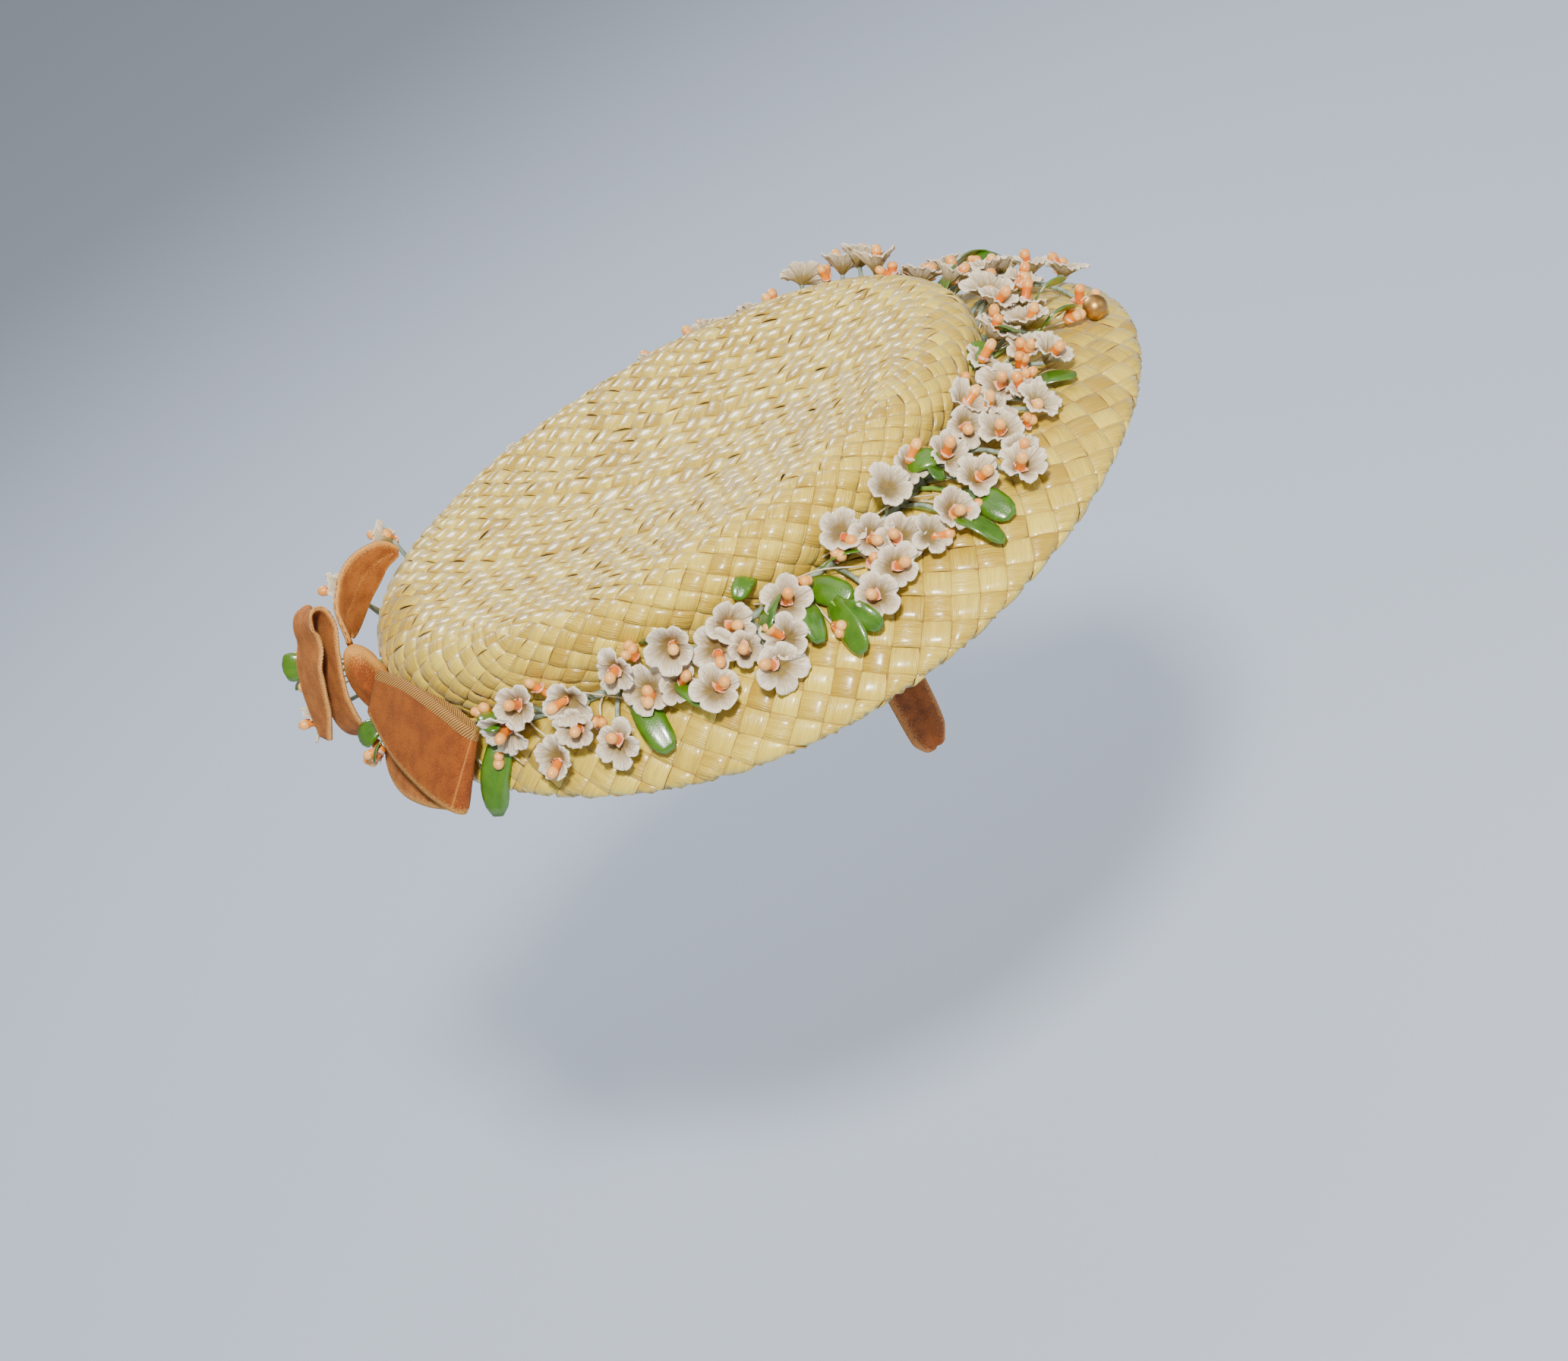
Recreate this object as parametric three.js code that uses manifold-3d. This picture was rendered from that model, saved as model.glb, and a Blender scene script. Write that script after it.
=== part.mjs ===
import * as THREE from "three";
import { mergeVertices } from "three/addons/utils/BufferGeometryUtils.js";
import Module from "manifold-3d";

// A plaited straw pancake hat with a flower garland, a velvet bow and velvet grips, in millimetres.
// +X is the front, +Y the wearer's left and +Z up. The origin is the point under the crown that
// rests on top of the head.

// Crown
const crownLength = 208.6;
const crownWidth = 183.6;
const crownHeight = 25;
const crownDish = 7;
const strawWall = 1.6;
const seatClearance = 1.6;

// Brim: how far it reaches from the middle of the crown, and how far it drops below the crease
const brimFront = 146.5;
const brimSide = 122;
const brimRear = 110.5;
const dropFront = 12.4;
const dropSide = 28.5;
const dropRear = 7.8;
const hemWidth = 6;
const hemThickness = 3;

// Garland
const stemDiameter = 2.4;
const stalkDiameter = 1.4;
const blossomDiameter = 12;
const blossomDepth = 5;
const stamenLength = 7;
const stamenDiameter = 3.2;
const leafLength = 15;
const leafWidth = 8;
const leafThickness = 1;

// Velvet bow, velvet grips and hat pin
const ribbonWidth = 28;
const ribbonThickness = 1.8;
const gripLength = 80;
const gripWidth = 14;
const gripThickness = 4;
const gripTurn = 71;
const gripTuck = 7.5;
const pinBeadDiameter = 7.8;
const pinShankDiameter = 1.2;
const pinShankLength = 14;
const pinHoleClearance = 0.35;
const pinTurn = -6;
const pinInset = 10;

// The gap kept where one piece is seated on another
const seatGap = 0.3;

const colours = {
  straw: { color: 0xd9c78a, roughness: 0.42, metalness: 0 },
  stem: { color: 0x6f7d5c, roughness: 0.8, metalness: 0 },
  petal: { color: 0xe8e0cf, roughness: 0.7, metalness: 0 },
  leaf: { color: 0x4d8a2c, roughness: 0.35, metalness: 0 },
  velvet: { color: 0xb4561f, roughness: 0.9, metalness: 0 },
  grip: { color: 0x8a4a2a, roughness: 0.9, metalness: 0 },
  bronze: { color: 0x9a6234, roughness: 0.35, metalness: 0.8 },
};

const hat = new THREE.Group();
const rad = THREE.MathUtils.degToRad;
const vec = (x, y, z) => new THREE.Vector3(x, y, z);
const polar = (turn, r, z) => vec(r * Math.cos(turn), r * Math.sin(turn), z);

function addPiece(name, geometry, finish) {
  const mesh = new THREE.Mesh(geometry, new THREE.MeshStandardMaterial(colours[finish]));
  mesh.name = name;
  hat.add(mesh);
}

// Closed meshes: rings of points joined one to the next, with a fan to a point at each end

function meshOf(points, faces) {
  const at = (i) => points[i];
  let volume = 0;
  for (const [a, b, c] of faces) volume += at(a).dot(at(b).clone().cross(at(c)));
  const index = faces.flatMap(([a, b, c]) => (volume > 0 ? [a, b, c] : [a, c, b]));
  const geometry = new THREE.BufferGeometry();
  geometry.setAttribute("position", new THREE.Float32BufferAttribute(points.flatMap((p) => p.toArray()), 3));
  geometry.setIndex(index);
  geometry.computeVertexNormals();
  return geometry;
}

function loft(rings, firstPole, lastPole) {
  const n = rings[0].length;
  const points = [...rings.flat(), firstPole, lastPole];
  const [first, last] = [points.length - 2, points.length - 1];
  const top = (rings.length - 1) * n;
  const faces = [];
  for (let i = 0; i < n; i += 1) {
    const next = (i + 1) % n;
    for (let k = 0; k < rings.length - 1; k += 1) {
      const a = k * n;
      const b = a + n;
      faces.push([a + i, a + next, b + i], [a + next, b + next, b + i]);
    }
    faces.push([first, next, i], [last, top + i, top + next]);
  }
  return meshOf(points, faces);
}

const middleOf = (ring) =>
  ring.reduce((sum, p) => sum.add(p), vec(0, 0, 0)).divideScalar(ring.length);

// Tubes that follow a curve, with a radius for each share of the length
function tube(curve, steps, sides, radiusAt) {
  const frames = curve.computeFrenetFrames(steps, false);
  const rings = [];
  for (let k = 0; k <= steps; k += 1) {
    const middle = curve.getPointAt(k / steps);
    const ring = [];
    for (let i = 0; i < sides; i += 1) {
      const turn = (2 * Math.PI * i) / sides;
      const out = frames.normals[k].clone().multiplyScalar(Math.cos(turn));
      out.addScaledVector(frames.binormals[k], Math.sin(turn));
      ring.push(middle.clone().addScaledVector(out, radiusAt(k / steps)));
    }
    rings.push(ring);
  }
  return loft(rings, middleOf(rings[0]), middleOf(rings.at(-1)));
}

// Straw body

// Half of the crown across, at a turn round the hat
const crownReach = (turn) =>
  1 / Math.hypot(Math.cos(turn) / (crownLength / 2), Math.sin(turn) / (crownWidth / 2));

// A size that is set at the front, the sides and the rear, and changes evenly between them
function around(front, side, rear, turn) {
  const ends = (front + rear) / 2;
  return (ends + side) / 2 + ((front - rear) / 2) * Math.cos(turn) + ((ends - side) / 2) * Math.cos(2 * turn);
}

const brimReach = (turn) => around(brimFront, brimSide, brimRear, turn);
const brimDrop = (turn) => around(dropFront, dropSide, dropRear, turn);
const rimHeight = seatClearance + strawWall + crownDish;
const creaseHeight = rimHeight - crownHeight;

// The crown's top and side: across in shares of its half width, dip of its dish, fall of its height
const crownRows = [
  { across: 0, dip: 1, fall: 0 },
  { across: 0.25, dip: 0.95, fall: 0 },
  { across: 0.5, dip: 0.62, fall: 0 },
  { across: 0.7, dip: 0.22, fall: 0 },
  { across: 0.84, dip: 0, fall: 0 },
  { across: 0.93, dip: 0, fall: 0.07 },
  { across: 0.98, dip: 0, fall: 0.24 },
  { across: 1, dip: 0, fall: 0.5 },
  { across: 0.985, dip: 0, fall: 0.78 },
  { across: 0.955, dip: 0, fall: 1 },
];
// The brim from the crease to its edge: out in shares of its width, drop of its drop
const brimRows = [
  { out: 0.12, drop: -0.02 },
  { out: 0.35, drop: 0.1 },
  { out: 0.6, drop: 0.34 },
  { out: 0.82, drop: 0.66 },
  { out: 0.94, drop: 0.86 },
  { out: 1, drop: 1 },
];
const creaseShare = crownRows.at(-1).across;
const creaseReach = (turn) => creaseShare * crownReach(turn);

// The middle of the upper straw surface, from the crown's centre to the brim's edge, as radius and height
function strawCurve(turn) {
  const crease = creaseReach(turn);
  const top = crownRows.map((row) =>
    vec(row.across * crownReach(turn), 0, rimHeight - row.dip * crownDish - row.fall * crownHeight));
  const brim = brimRows.map((row) =>
    vec(crease + row.out * (brimReach(turn) - crease), 0, creaseHeight - row.drop * brimDrop(turn)));
  return new THREE.CatmullRomCurve3([...top, ...brim], false, "centripetal");
}

// The point under a share of the curve, a depth below the surface, turned into its place
function strawPoint(curve, share, depth, turn) {
  const p = curve.getPoint(share);
  const t = curve.getTangent(share);
  return polar(turn, p.x + t.z * depth, p.z - t.x * depth);
}

const strawTurns = 56;
const creaseAt = (crownRows.length - 1) / (crownRows.length + brimRows.length - 1);

// Shares of the curve from one to another, in even steps, without the last
const spread = (from, to, steps) =>
  Array.from({ length: steps }, (unused, k) => from + ((to - from) * k) / steps);

// The shell's section from the crown's centre over the brim, round the hem and back underneath
function strawSection(turn) {
  const curve = strawCurve(turn);
  const hemAt = 1 - hemWidth / curve.getLength();
  const outer = [...spread(0, creaseAt, 14).slice(1), ...spread(creaseAt, 1, 11), 1];
  const inner = [...spread(hemAt, creaseAt, 4), ...spread(creaseAt, 0, 9)];
  const hem = [strawPoint(curve, 1, hemThickness, turn), strawPoint(curve, hemAt, hemThickness, turn)];
  return [
    ...outer.map((share) => strawPoint(curve, share, 0, turn)),
    ...hem,
    ...inner.map((share) => strawPoint(curve, share, strawWall, turn)),
  ];
}

function strawBody() {
  const sections = spread(0, 2 * Math.PI, strawTurns).map(strawSection);
  const rings = sections[0].map((unused, k) => sections.map((section) => section[k]));
  const centre = rimHeight - crownDish;
  return loft(rings, vec(0, 0, centre), vec(0, 0, centre - strawWall));
}

// The point a given way out from the crease on the brim, and the way that the brim faces there
function onBrim(turn, out, lift) {
  const curve = strawCurve(turn);
  const radius = creaseReach(turn) + out;
  let [low, high] = [creaseAt, 1];
  for (let i = 0; i < 24; i += 1) {
    const share = (low + high) / 2;
    if (curve.getPoint(share).x < radius) low = share;
    else high = share;
  }
  const tangent = curve.getTangent(low);
  const up = polar(turn, -tangent.z, tangent.x);
  return { point: strawPoint(curve, low, 0, turn).addScaledVector(up, lift), up };
}

// Garland

// The stem lies on the brim just outside the crease and goes round the front from end to end
const stemOut = stemDiameter * 1.7;
const stemLift = stemDiameter / 2 + seatGap;
const stemEndTurn = 166;
const stemPoint = (turn) => onBrim(turn, stemOut, stemLift).point;

function garlandStem() {
  const steps = 60;
  const points = [];
  for (let k = 0; k <= steps; k += 1) points.push(stemPoint(rad(stemEndTurn * (2 * (k / steps) - 1))));
  return tube(new THREE.CatmullRomCurve3(points), steps, 6, () => stemDiameter / 2);
}

// The spray leaves the stem at the left and crosses the front brim: turn in degrees, out from the crease in
// shares of the brim's width and lift in shares of the stem's diameter
const sprayRows = [
  { turn: 30, out: 0.15, lift: 0.85 },
  { turn: 24, out: 0.38, lift: 2 },
  { turn: 17, out: 0.6, lift: 2 },
  { turn: 8, out: 0.72, lift: 1.1 },
  { turn: 1, out: 0.77, lift: 0.7 },
];
const sprayOut = (row) => row.out * (brimReach(rad(row.turn)) - creaseReach(rad(row.turn)));

function sprayStem() {
  const points = sprayRows.map((row) => onBrim(rad(row.turn), sprayOut(row), row.lift * stemDiameter).point);
  return tube(new THREE.CatmullRomCurve3(points), 12, 6, (t) => (stemDiameter / 2) * (1 - 0.45 * t));
}

// The flowers round the hat: turn in degrees, out from the crease and lift over the brim in shares of a
// flower's diameter, and lean in degrees from the way that the brim faces to outward
const blossomRows = [
  { turn: -137, out: 0.67, lift: 0.75, lean: 60 },
  { turn: -129, out: 1.25, lift: 0.5, lean: 40 },
  { turn: -123, out: 0.67, lift: 1.08, lean: 70 },
  { turn: -118, out: 1.42, lift: 0.5, lean: 35 },
  { turn: -111, out: 0.92, lift: 0.5, lean: 30 },
  { turn: -104, out: 0.67, lift: 1.17, lean: 65 },
  { turn: -101, out: 1.5, lift: 0.5, lean: 40 },
  { turn: -95, out: 0.67, lift: 0.67, lean: 50 },
  { turn: -91, out: 1.75, lift: 0.5, lean: 35 },
  { turn: -85, out: 0.92, lift: 0.58, lean: 40 },
  { turn: -74, out: 1.92, lift: 0.5, lean: 40 },
  { turn: -71, out: 0.67, lift: 1.0, lean: 65 },
  { turn: -65, out: 1.42, lift: 0.5, lean: 30 },
  { turn: -60, out: 0.67, lift: 1.0, lean: 60 },
  { turn: -57, out: 1.83, lift: 0.5, lean: 40 },
  { turn: -46, out: 2.42, lift: 0.5, lean: 45 },
  { turn: -48, out: 0.92, lift: 0.67, lean: 40 },
  { turn: -40, out: 1.58, lift: 0.5, lean: 35 },
  { turn: -37, out: 0.67, lift: 0.92, lean: 60 },
  { turn: -33, out: 2.0, lift: 0.5, lean: 40 },
  { turn: -28, out: 1.0, lift: 0.58, lean: 35 },
  { turn: -21, out: 1.92, lift: 0.5, lean: 30 },
  { turn: -16, out: 0.75, lift: 1.08, lean: 50 },
  { turn: -9, out: 1.42, lift: 0.58, lean: 25 },
  { turn: 3, out: 1.0, lift: 0.92, lean: 40 },
  { turn: 22, out: 0.75, lift: 1.17, lean: 55 },
  { turn: 44, out: 1.0, lift: 0.75, lean: 35 },
  { turn: 60, out: 0.67, lift: 1.17, lean: 45 },
  { turn: 76, out: 1.25, lift: 0.58, lean: 35 },
  { turn: 92, out: 0.75, lift: 0.92, lean: 50 },
  { turn: 108, out: 1.17, lift: 0.58, lean: 40 },
  { turn: 124, out: 0.67, lift: 1.0, lean: 50 },
  { turn: 140, out: 1.0, lift: 0.58, lean: 40 },
];
// The flowers of the spray: the row of its stem that the stalk leaves, turn in degrees and the rest as above
const sprayBlossomRows = [
  { root: 2, turn: 4, out: 0.42, lift: 0.5, lean: 20 },
  { root: 3, turn: 1, out: -0.75, lift: 0.55, lean: 10 },
  { root: 3, turn: 3, out: 0.6, lift: 0.5, lean: 35 },
];

// A stalk's rise at its middle, as a share of its length
const stalkArch = 0.12;
// A flower: a stalk, a cup of five petals and a stamen, as rings along the way that it faces
const blossomRings = [
  { along: 0, petal: 0.12, notch: 0.12 },
  { along: 1, petal: 1, notch: 0.7 },
  { along: 0.42, petal: 0.34, notch: 0.3 },
];

function ringAbout(middle, axis, sides, radiusAt) {
  const across = vec(axis.y, -axis.x, 0.2).cross(axis).normalize();
  const other = axis.clone().cross(across);
  return Array.from({ length: sides }, (unused, i) => {
    const turn = (2 * Math.PI * i) / sides;
    const out = across.clone().multiplyScalar(Math.cos(turn)).addScaledVector(other, Math.sin(turn));
    return middle.clone().addScaledVector(out, radiusAt(i));
  });
}

function blossom(root, middle, axis, up) {
  const base = middle.clone().addScaledVector(axis, -blossomDepth / 2);
  const stalkWay = base.clone().sub(root).normalize();
  const knee = root.clone().lerp(base, 0.5).addScaledVector(up, root.distanceTo(base) * stalkArch);
  const stalk = () => stalkDiameter / 2;
  const rings = [ringAbout(root, stalkWay, 10, stalk), ringAbout(knee, stalkWay, 10, stalk)];
  for (const row of blossomRings) {
    const at = base.clone().addScaledVector(axis, row.along * blossomDepth);
    rings.push(ringAbout(at, axis, 10, (i) => (blossomDiameter / 2) * (i % 2 ? row.notch : row.petal)));
  }
  const tip = base.clone().addScaledVector(axis, stamenLength);
  rings.push(ringAbout(tip, axis, 10, () => stamenDiameter / 2));
  return loft(rings, root, tip);
}

// The point on a stem's upper side that a stalk grows from, and its way to the flower
function stalkRoot(stem, target, radius) {
  const way = target.clone().sub(stem).normalize();
  return stem.clone().addScaledVector(way, radius + seatGap);
}

function facing(turn, lean, up) {
  const out = polar(turn, 1, 0);
  return up.clone().multiplyScalar(Math.cos(rad(lean))).addScaledVector(out, Math.sin(rad(lean))).normalize();
}

// A flower at its place on the brim, with its stalk growing from a point of a stem
function addBlossom(name, { turn, out, lift, lean }, stem) {
  const { point, up } = onBrim(rad(turn), out, lift * blossomDiameter);
  const root = stalkRoot(stem, point, stemDiameter / 2);
  addPiece(name, blossom(root, point, facing(rad(turn), lean, up), up), "petal");
}

const numbered = (name, i) => name + "_" + String(i + 1).padStart(2, "0");

function addBlossoms() {
  blossomRows.forEach((row, i) => {
    const place = { ...row, out: row.out * blossomDiameter };
    addBlossom(numbered("blossom", i), place, stemPoint(rad(row.turn)));
  });
  sprayBlossomRows.forEach((row, i) => {
    const stem = sprayRows[row.root];
    const stemAt = onBrim(rad(stem.turn), sprayOut(stem), stem.lift * stemDiameter).point;
    const place = { ...row, turn: stem.turn + row.turn, out: sprayOut(stem) + row.out * blossomDiameter };
    addBlossom(numbered("spray_blossom", i), place, stemAt);
  });
}

// The leaves: turn in degrees, out from the crease to the foot of the blade in shares of a leaf's length,
// and sweep as the angle in degrees from outward to the way that the leaf points
const leafRows = [
  { turn: -140, out: 0.42, sweep: -25 },
  { turn: -114, out: 0.53, sweep: 20 },
  { turn: -81, out: 0.4, sweep: 30 },
  { turn: -79, out: 0.93, sweep: -10 },
  { turn: -52, out: 1.2, sweep: -5 },
  { turn: -26, out: 1.07, sweep: 15 },
  { turn: -3, out: 0.73, sweep: 35 },
  { turn: 52, out: 0.53, sweep: 30 },
  { turn: 84, out: 0.6, sweep: -25 },
  { turn: 116, out: 0.53, sweep: 25 },
  { turn: 148, out: 0.4, sweep: -30 },
];
// A leaf's height over the brim at its foot and its rise to the tip, in shares of its length
const leafLift = 0.16;
const leafRise = 0.1;
// A leaf's outline: along in shares of its length, half in shares of half its width
const leafOutline = [
  { along: 0, half: 0.2 },
  { along: 0.3, half: 0.85 },
  { along: 0.6, half: 1 },
  { along: 0.86, half: 0.55 },
];

// The folded section of a leaf across its way: a ridge between two raised sides
function leafSection(middle, way, up, half) {
  const side = way.clone().cross(up).normalize();
  const top = side.clone().cross(way);
  const at = (across, height) => middle.clone().addScaledVector(side, across).addScaledVector(top, height);
  return [at(half, half * 0.2), at(0, leafThickness / 2), at(-half, half * 0.2), at(0, -leafThickness / 2)];
}

function leaf(row) {
  const turn = rad(row.turn);
  const sweep = rad(row.sweep);
  const place = (along) => {
    const foot = row.out * leafLength;
    const round = (along * leafLength * Math.sin(sweep)) / (creaseReach(turn) + foot);
    const out = foot + along * leafLength * Math.cos(sweep);
    return onBrim(turn + round, out, (leafLift + leafRise * along) * leafLength);
  };
  const way = place(0.6).point.sub(place(0.3).point).normalize();
  const root = stalkRoot(stemPoint(turn), place(0).point, stemDiameter / 2);
  const rings = [leafSection(root, way, place(0).up, stalkDiameter / 2)];
  for (const { along, half } of leafOutline) {
    const { point, up } = place(along);
    rings.push(leafSection(point, way, up, (half * leafWidth) / 2));
  }
  return loft(rings, root, place(1).point);
}

function addLeaves() {
  leafRows.forEach((row, i) => addPiece(numbered("leaf", i), leaf(row), "leaf"));
}

// Velvet bow

// The bow's own frame stands at the crease at the rear: back, side and up in shares of the ribbon's width
const bowFoot = vec(-creaseReach(Math.PI), 0, creaseHeight);
const bowPoint = ({ back, side, up }) =>
  vec(-back, side, up).multiplyScalar(ribbonWidth).add(bowFoot);
const bowWay = (back, side, up) => vec(-back, side, up).normalize();

// A strip of ribbon along rows of points, wide as a share of its width, turning from one way across to another
function ribbon(rows, acrossStart, acrossEnd, width, thickness) {
  const points = rows.map((row) => row.point);
  const curve = new THREE.CatmullRomCurve3(points, false, "centripetal");
  const widths = new THREE.SplineCurve(rows.map((row, i) => new THREE.Vector2(i, row.wide)));
  const steps = (rows.length - 1) * 2;
  const rings = [];
  for (let k = 0; k <= steps; k += 1) {
    const share = k / steps;
    const along = curve.getTangent(share);
    const across = acrossStart.clone().lerp(acrossEnd, share);
    across.addScaledVector(along, -across.dot(along)).normalize();
    const up = along.clone().cross(across);
    const half = (widths.getPoint(share).y * width) / 2;
    const place = (u, v) =>
      curve.getPoint(share).addScaledVector(across, u * half).addScaledVector(up, v);
    const t = thickness / 2;
    rings.push([place(-1, 0), place(-0.85, t), place(0, t), place(0.85, t),
      place(1, 0), place(0.85, -t), place(0, -t), place(-0.85, -t)]);
  }
  return loft(rings, middleOf(rings[0]), middleOf(rings.at(-1)));
}

// A loop seen from its side: along in shares of its length, off in shares of the ribbon's width, wide as above
const loopRows = [
  { along: 0, off: 0, wide: 0.55 },
  { along: 0.35, off: 0.05, wide: 0.9 },
  { along: 0.75, off: 0.05, wide: 1 },
  { along: 0.96, off: 0, wide: 0.95 },
  { along: 1, off: -0.07, wide: 0.93 },
  { along: 0.96, off: -0.14, wide: 0.9 },
  { along: 0.6, off: -0.13, wide: 0.9 },
  { along: 0.12, off: -0.12, wide: 0.5 },
];

function ribbonLoop(from, to, across) {
  const along = to.clone().sub(from);
  const off = across.clone().cross(along).normalize();
  const rows = loopRows.map((row) => ({
    wide: row.wide,
    point: from.clone().addScaledVector(along, row.along).addScaledVector(off, row.off * ribbonWidth),
  }));
  return ribbon(rows, across, across, ribbonWidth, ribbonThickness);
}

// The knot's middle and half its size each way, in the bow's frame
const knotMiddle = { back: 0.385, side: -0.12, up: 0.43 };
const knotSize = { back: 0.21, side: 0.36, up: 0.46 };
// The right loop's middle line from the knot to its fold, and the way across it
const rightLoopFrom = { back: 0.37, side: -0.73, up: 0.53 };
const rightLoopTo = { back: -0.1, side: -2.4, up: -0.1 };
const rightLoopAcross = bowWay(0.62, -0.09, -0.77);
const upperLoopRows = [
  { back: 0.37, side: 0.02, up: 0.862, wide: 0.25 },
  { back: 0.31, side: 0.18, up: 1.06, wide: 0.6 },
  { back: 0.17, side: 0.4, up: 1.12, wide: 0.82 },
  { back: -0.07, side: 0.59, up: 1.24, wide: 0.74 },
  { back: -0.36, side: 0.73, up: 1.27, wide: 0.5 },
  { back: -0.56, side: 0.83, up: 1.2, wide: 0.15 },
];
const rearLoopRows = [
  { back: 0.44, side: -0.06, up: -0.05, wide: 0.45 },
  { back: 0.64, side: -0.02, up: -0.12, wide: 0.6 },
  { back: 0.83, side: 0.02, up: 0, wide: 0.7 },
  { back: 0.84, side: 0.08, up: 0.3, wide: 0.75 },
  { back: 0.75, side: 0.12, up: 0.6, wide: 0.75 },
  { back: 0.62, side: 0.14, up: 0.9, wide: 0.72 },
  { back: 0.5, side: 0.14, up: 1.2, wide: 0.7 },
  { back: 0.52, side: 0.14, up: 1.36, wide: 0.7 },
  { back: 0.64, side: 0.14, up: 1.3, wide: 0.7 },
  { back: 0.76, side: 0.14, up: 1.04, wide: 0.75 },
  { back: 0.88, side: 0.14, up: 0.84, wide: 0.75 },
  { back: 0.98, side: 0.14, up: 0.6, wide: 0.7 },
  { back: 1.07, side: 0.14, up: 0.33, wide: 0.6 },
  { back: 1.17, side: 0.12, up: 0.04, wide: 0.3 },
];

function addBow() {
  const knot = new THREE.SphereGeometry(1, 12, 8);
  knot.scale(knotSize.back * ribbonWidth, knotSize.side * ribbonWidth, knotSize.up * ribbonWidth);
  knot.translate(...bowPoint(knotMiddle).toArray());
  addPiece("bow_knot", knot, "velvet");
  const right = ribbonLoop(bowPoint(rightLoopFrom), bowPoint(rightLoopTo), rightLoopAcross);
  addPiece("bow_loop_right", right, "velvet");
  const strip = (rows, ...ways) => {
    const placed = rows.map((row) => ({ point: bowPoint(row), wide: row.wide }));
    return ribbon(placed, ...ways, ribbonWidth, ribbonThickness);
  };
  addPiece("bow_loop_upper", strip(upperLoopRows, bowWay(0.18, 0.34, -0.9), bowWay(0.18, 0.38, -0.9)), "velvet");
  addPiece("bow_loop_rear", strip(rearLoopRows, bowWay(0.42, 0.87, -0.25), bowWay(0.42, 0.87, -0.25)), "velvet");
}

// Velvet grips

// A grip's middle line: drop in shares of its length from its top, in as how far it leans towards the head
const gripRows = [
  { drop: 0, lean: 0, wide: 0.7 },
  { drop: 0.12, lean: 0.01, wide: 0.95 },
  { drop: 0.45, lean: 0.02, wide: 1 },
  { drop: 0.75, lean: 0.05, wide: 1 },
  { drop: 0.94, lean: 0.08, wide: 0.9 },
  { drop: 1, lean: 0.09, wide: 0.55 },
];

function grip(turn) {
  const reach = creaseReach(turn) - strawWall - seatGap - gripThickness / 2;
  const top = creaseHeight + gripTuck;
  const rows = gripRows.map((row) => ({
    wide: row.wide,
    point: polar(turn, reach - row.lean * gripLength, top - row.drop * gripLength),
  }));
  const across = polar(turn + Math.PI / 2, 1, 0);
  return ribbon(rows, across, across, gripWidth, gripThickness);
}

// Hat pin

function pinSeat() {
  const turn = rad(pinTurn);
  const { point, up } = onBrim(turn, brimReach(turn) - creaseReach(turn) - pinInset, 0);
  return { point, up, turned: new THREE.Quaternion().setFromUnitVectors(vec(0, 1, 0), up) };
}

// The bead on its shank, turned about the Y axis of its own frame with the brim's surface at zero
function pinGeometry() {
  const radius = pinBeadDiameter / 2;
  const shank = pinShankDiameter / 2;
  const beadFoot = seatGap + radius - Math.sqrt(radius ** 2 - shank ** 2);
  const profile = [new THREE.Vector2(0, -pinShankLength), new THREE.Vector2(shank, -pinShankLength)];
  profile.push(new THREE.Vector2(shank, beadFoot));
  for (let i = 1; i < 8; i += 1) {
    const turn = Math.PI * (i / 8) - Math.PI / 2;
    profile.push(new THREE.Vector2(radius * Math.cos(turn), seatGap + radius + radius * Math.sin(turn)));
  }
  profile.push(new THREE.Vector2(0, seatGap + pinBeadDiameter));
  return new THREE.LatheGeometry(profile, 16);
}

function pinHole() {
  const radius = pinShankDiameter / 2 + pinHoleClearance;
  return new THREE.CylinderGeometry(radius, radius, 6 * strawWall, 10);
}

function placed(geometry, { point, turned }) {
  return geometry.applyQuaternion(turned).translate(...point.toArray());
}

// Cuts one closed geometry out of another
async function cut(body, tool) {
  const wasm = await Module();
  wasm.setup();
  const solid = (geometry) => {
    const bare = geometry.clone().deleteAttribute("normal").deleteAttribute("uv");
    const merged = mergeVertices(bare, 1e-4);
    const vertProperties = merged.attributes.position.array;
    const triVerts = new Uint32Array(merged.index.array);
    return new wasm.Manifold(new wasm.Mesh({ numProp: 3, vertProperties, triVerts }));
  };
  const mesh = solid(body).subtract(solid(tool)).getMesh();
  const geometry = new THREE.BufferGeometry();
  geometry.setAttribute("position", new THREE.BufferAttribute(mesh.vertProperties, 3));
  geometry.setIndex(new THREE.BufferAttribute(mesh.triVerts, 1));
  geometry.computeVertexNormals();
  return geometry;
}

addPiece("straw_body", await cut(strawBody(), placed(pinHole(), pinSeat())), "straw");
addPiece("hat_pin", placed(pinGeometry(), pinSeat()), "bronze");
addPiece("garland_stem", garlandStem(), "stem");
addPiece("spray_stem", sprayStem(), "stem");
addBlossoms();
addLeaves();
addBow();
addPiece("velvet_grip_right", grip(rad(-gripTurn)), "grip");
addPiece("velvet_grip_left", grip(rad(gripTurn)), "grip");

export default hat;
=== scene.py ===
import math

import bpy
import numpy as np
from mathutils import Matrix


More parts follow.
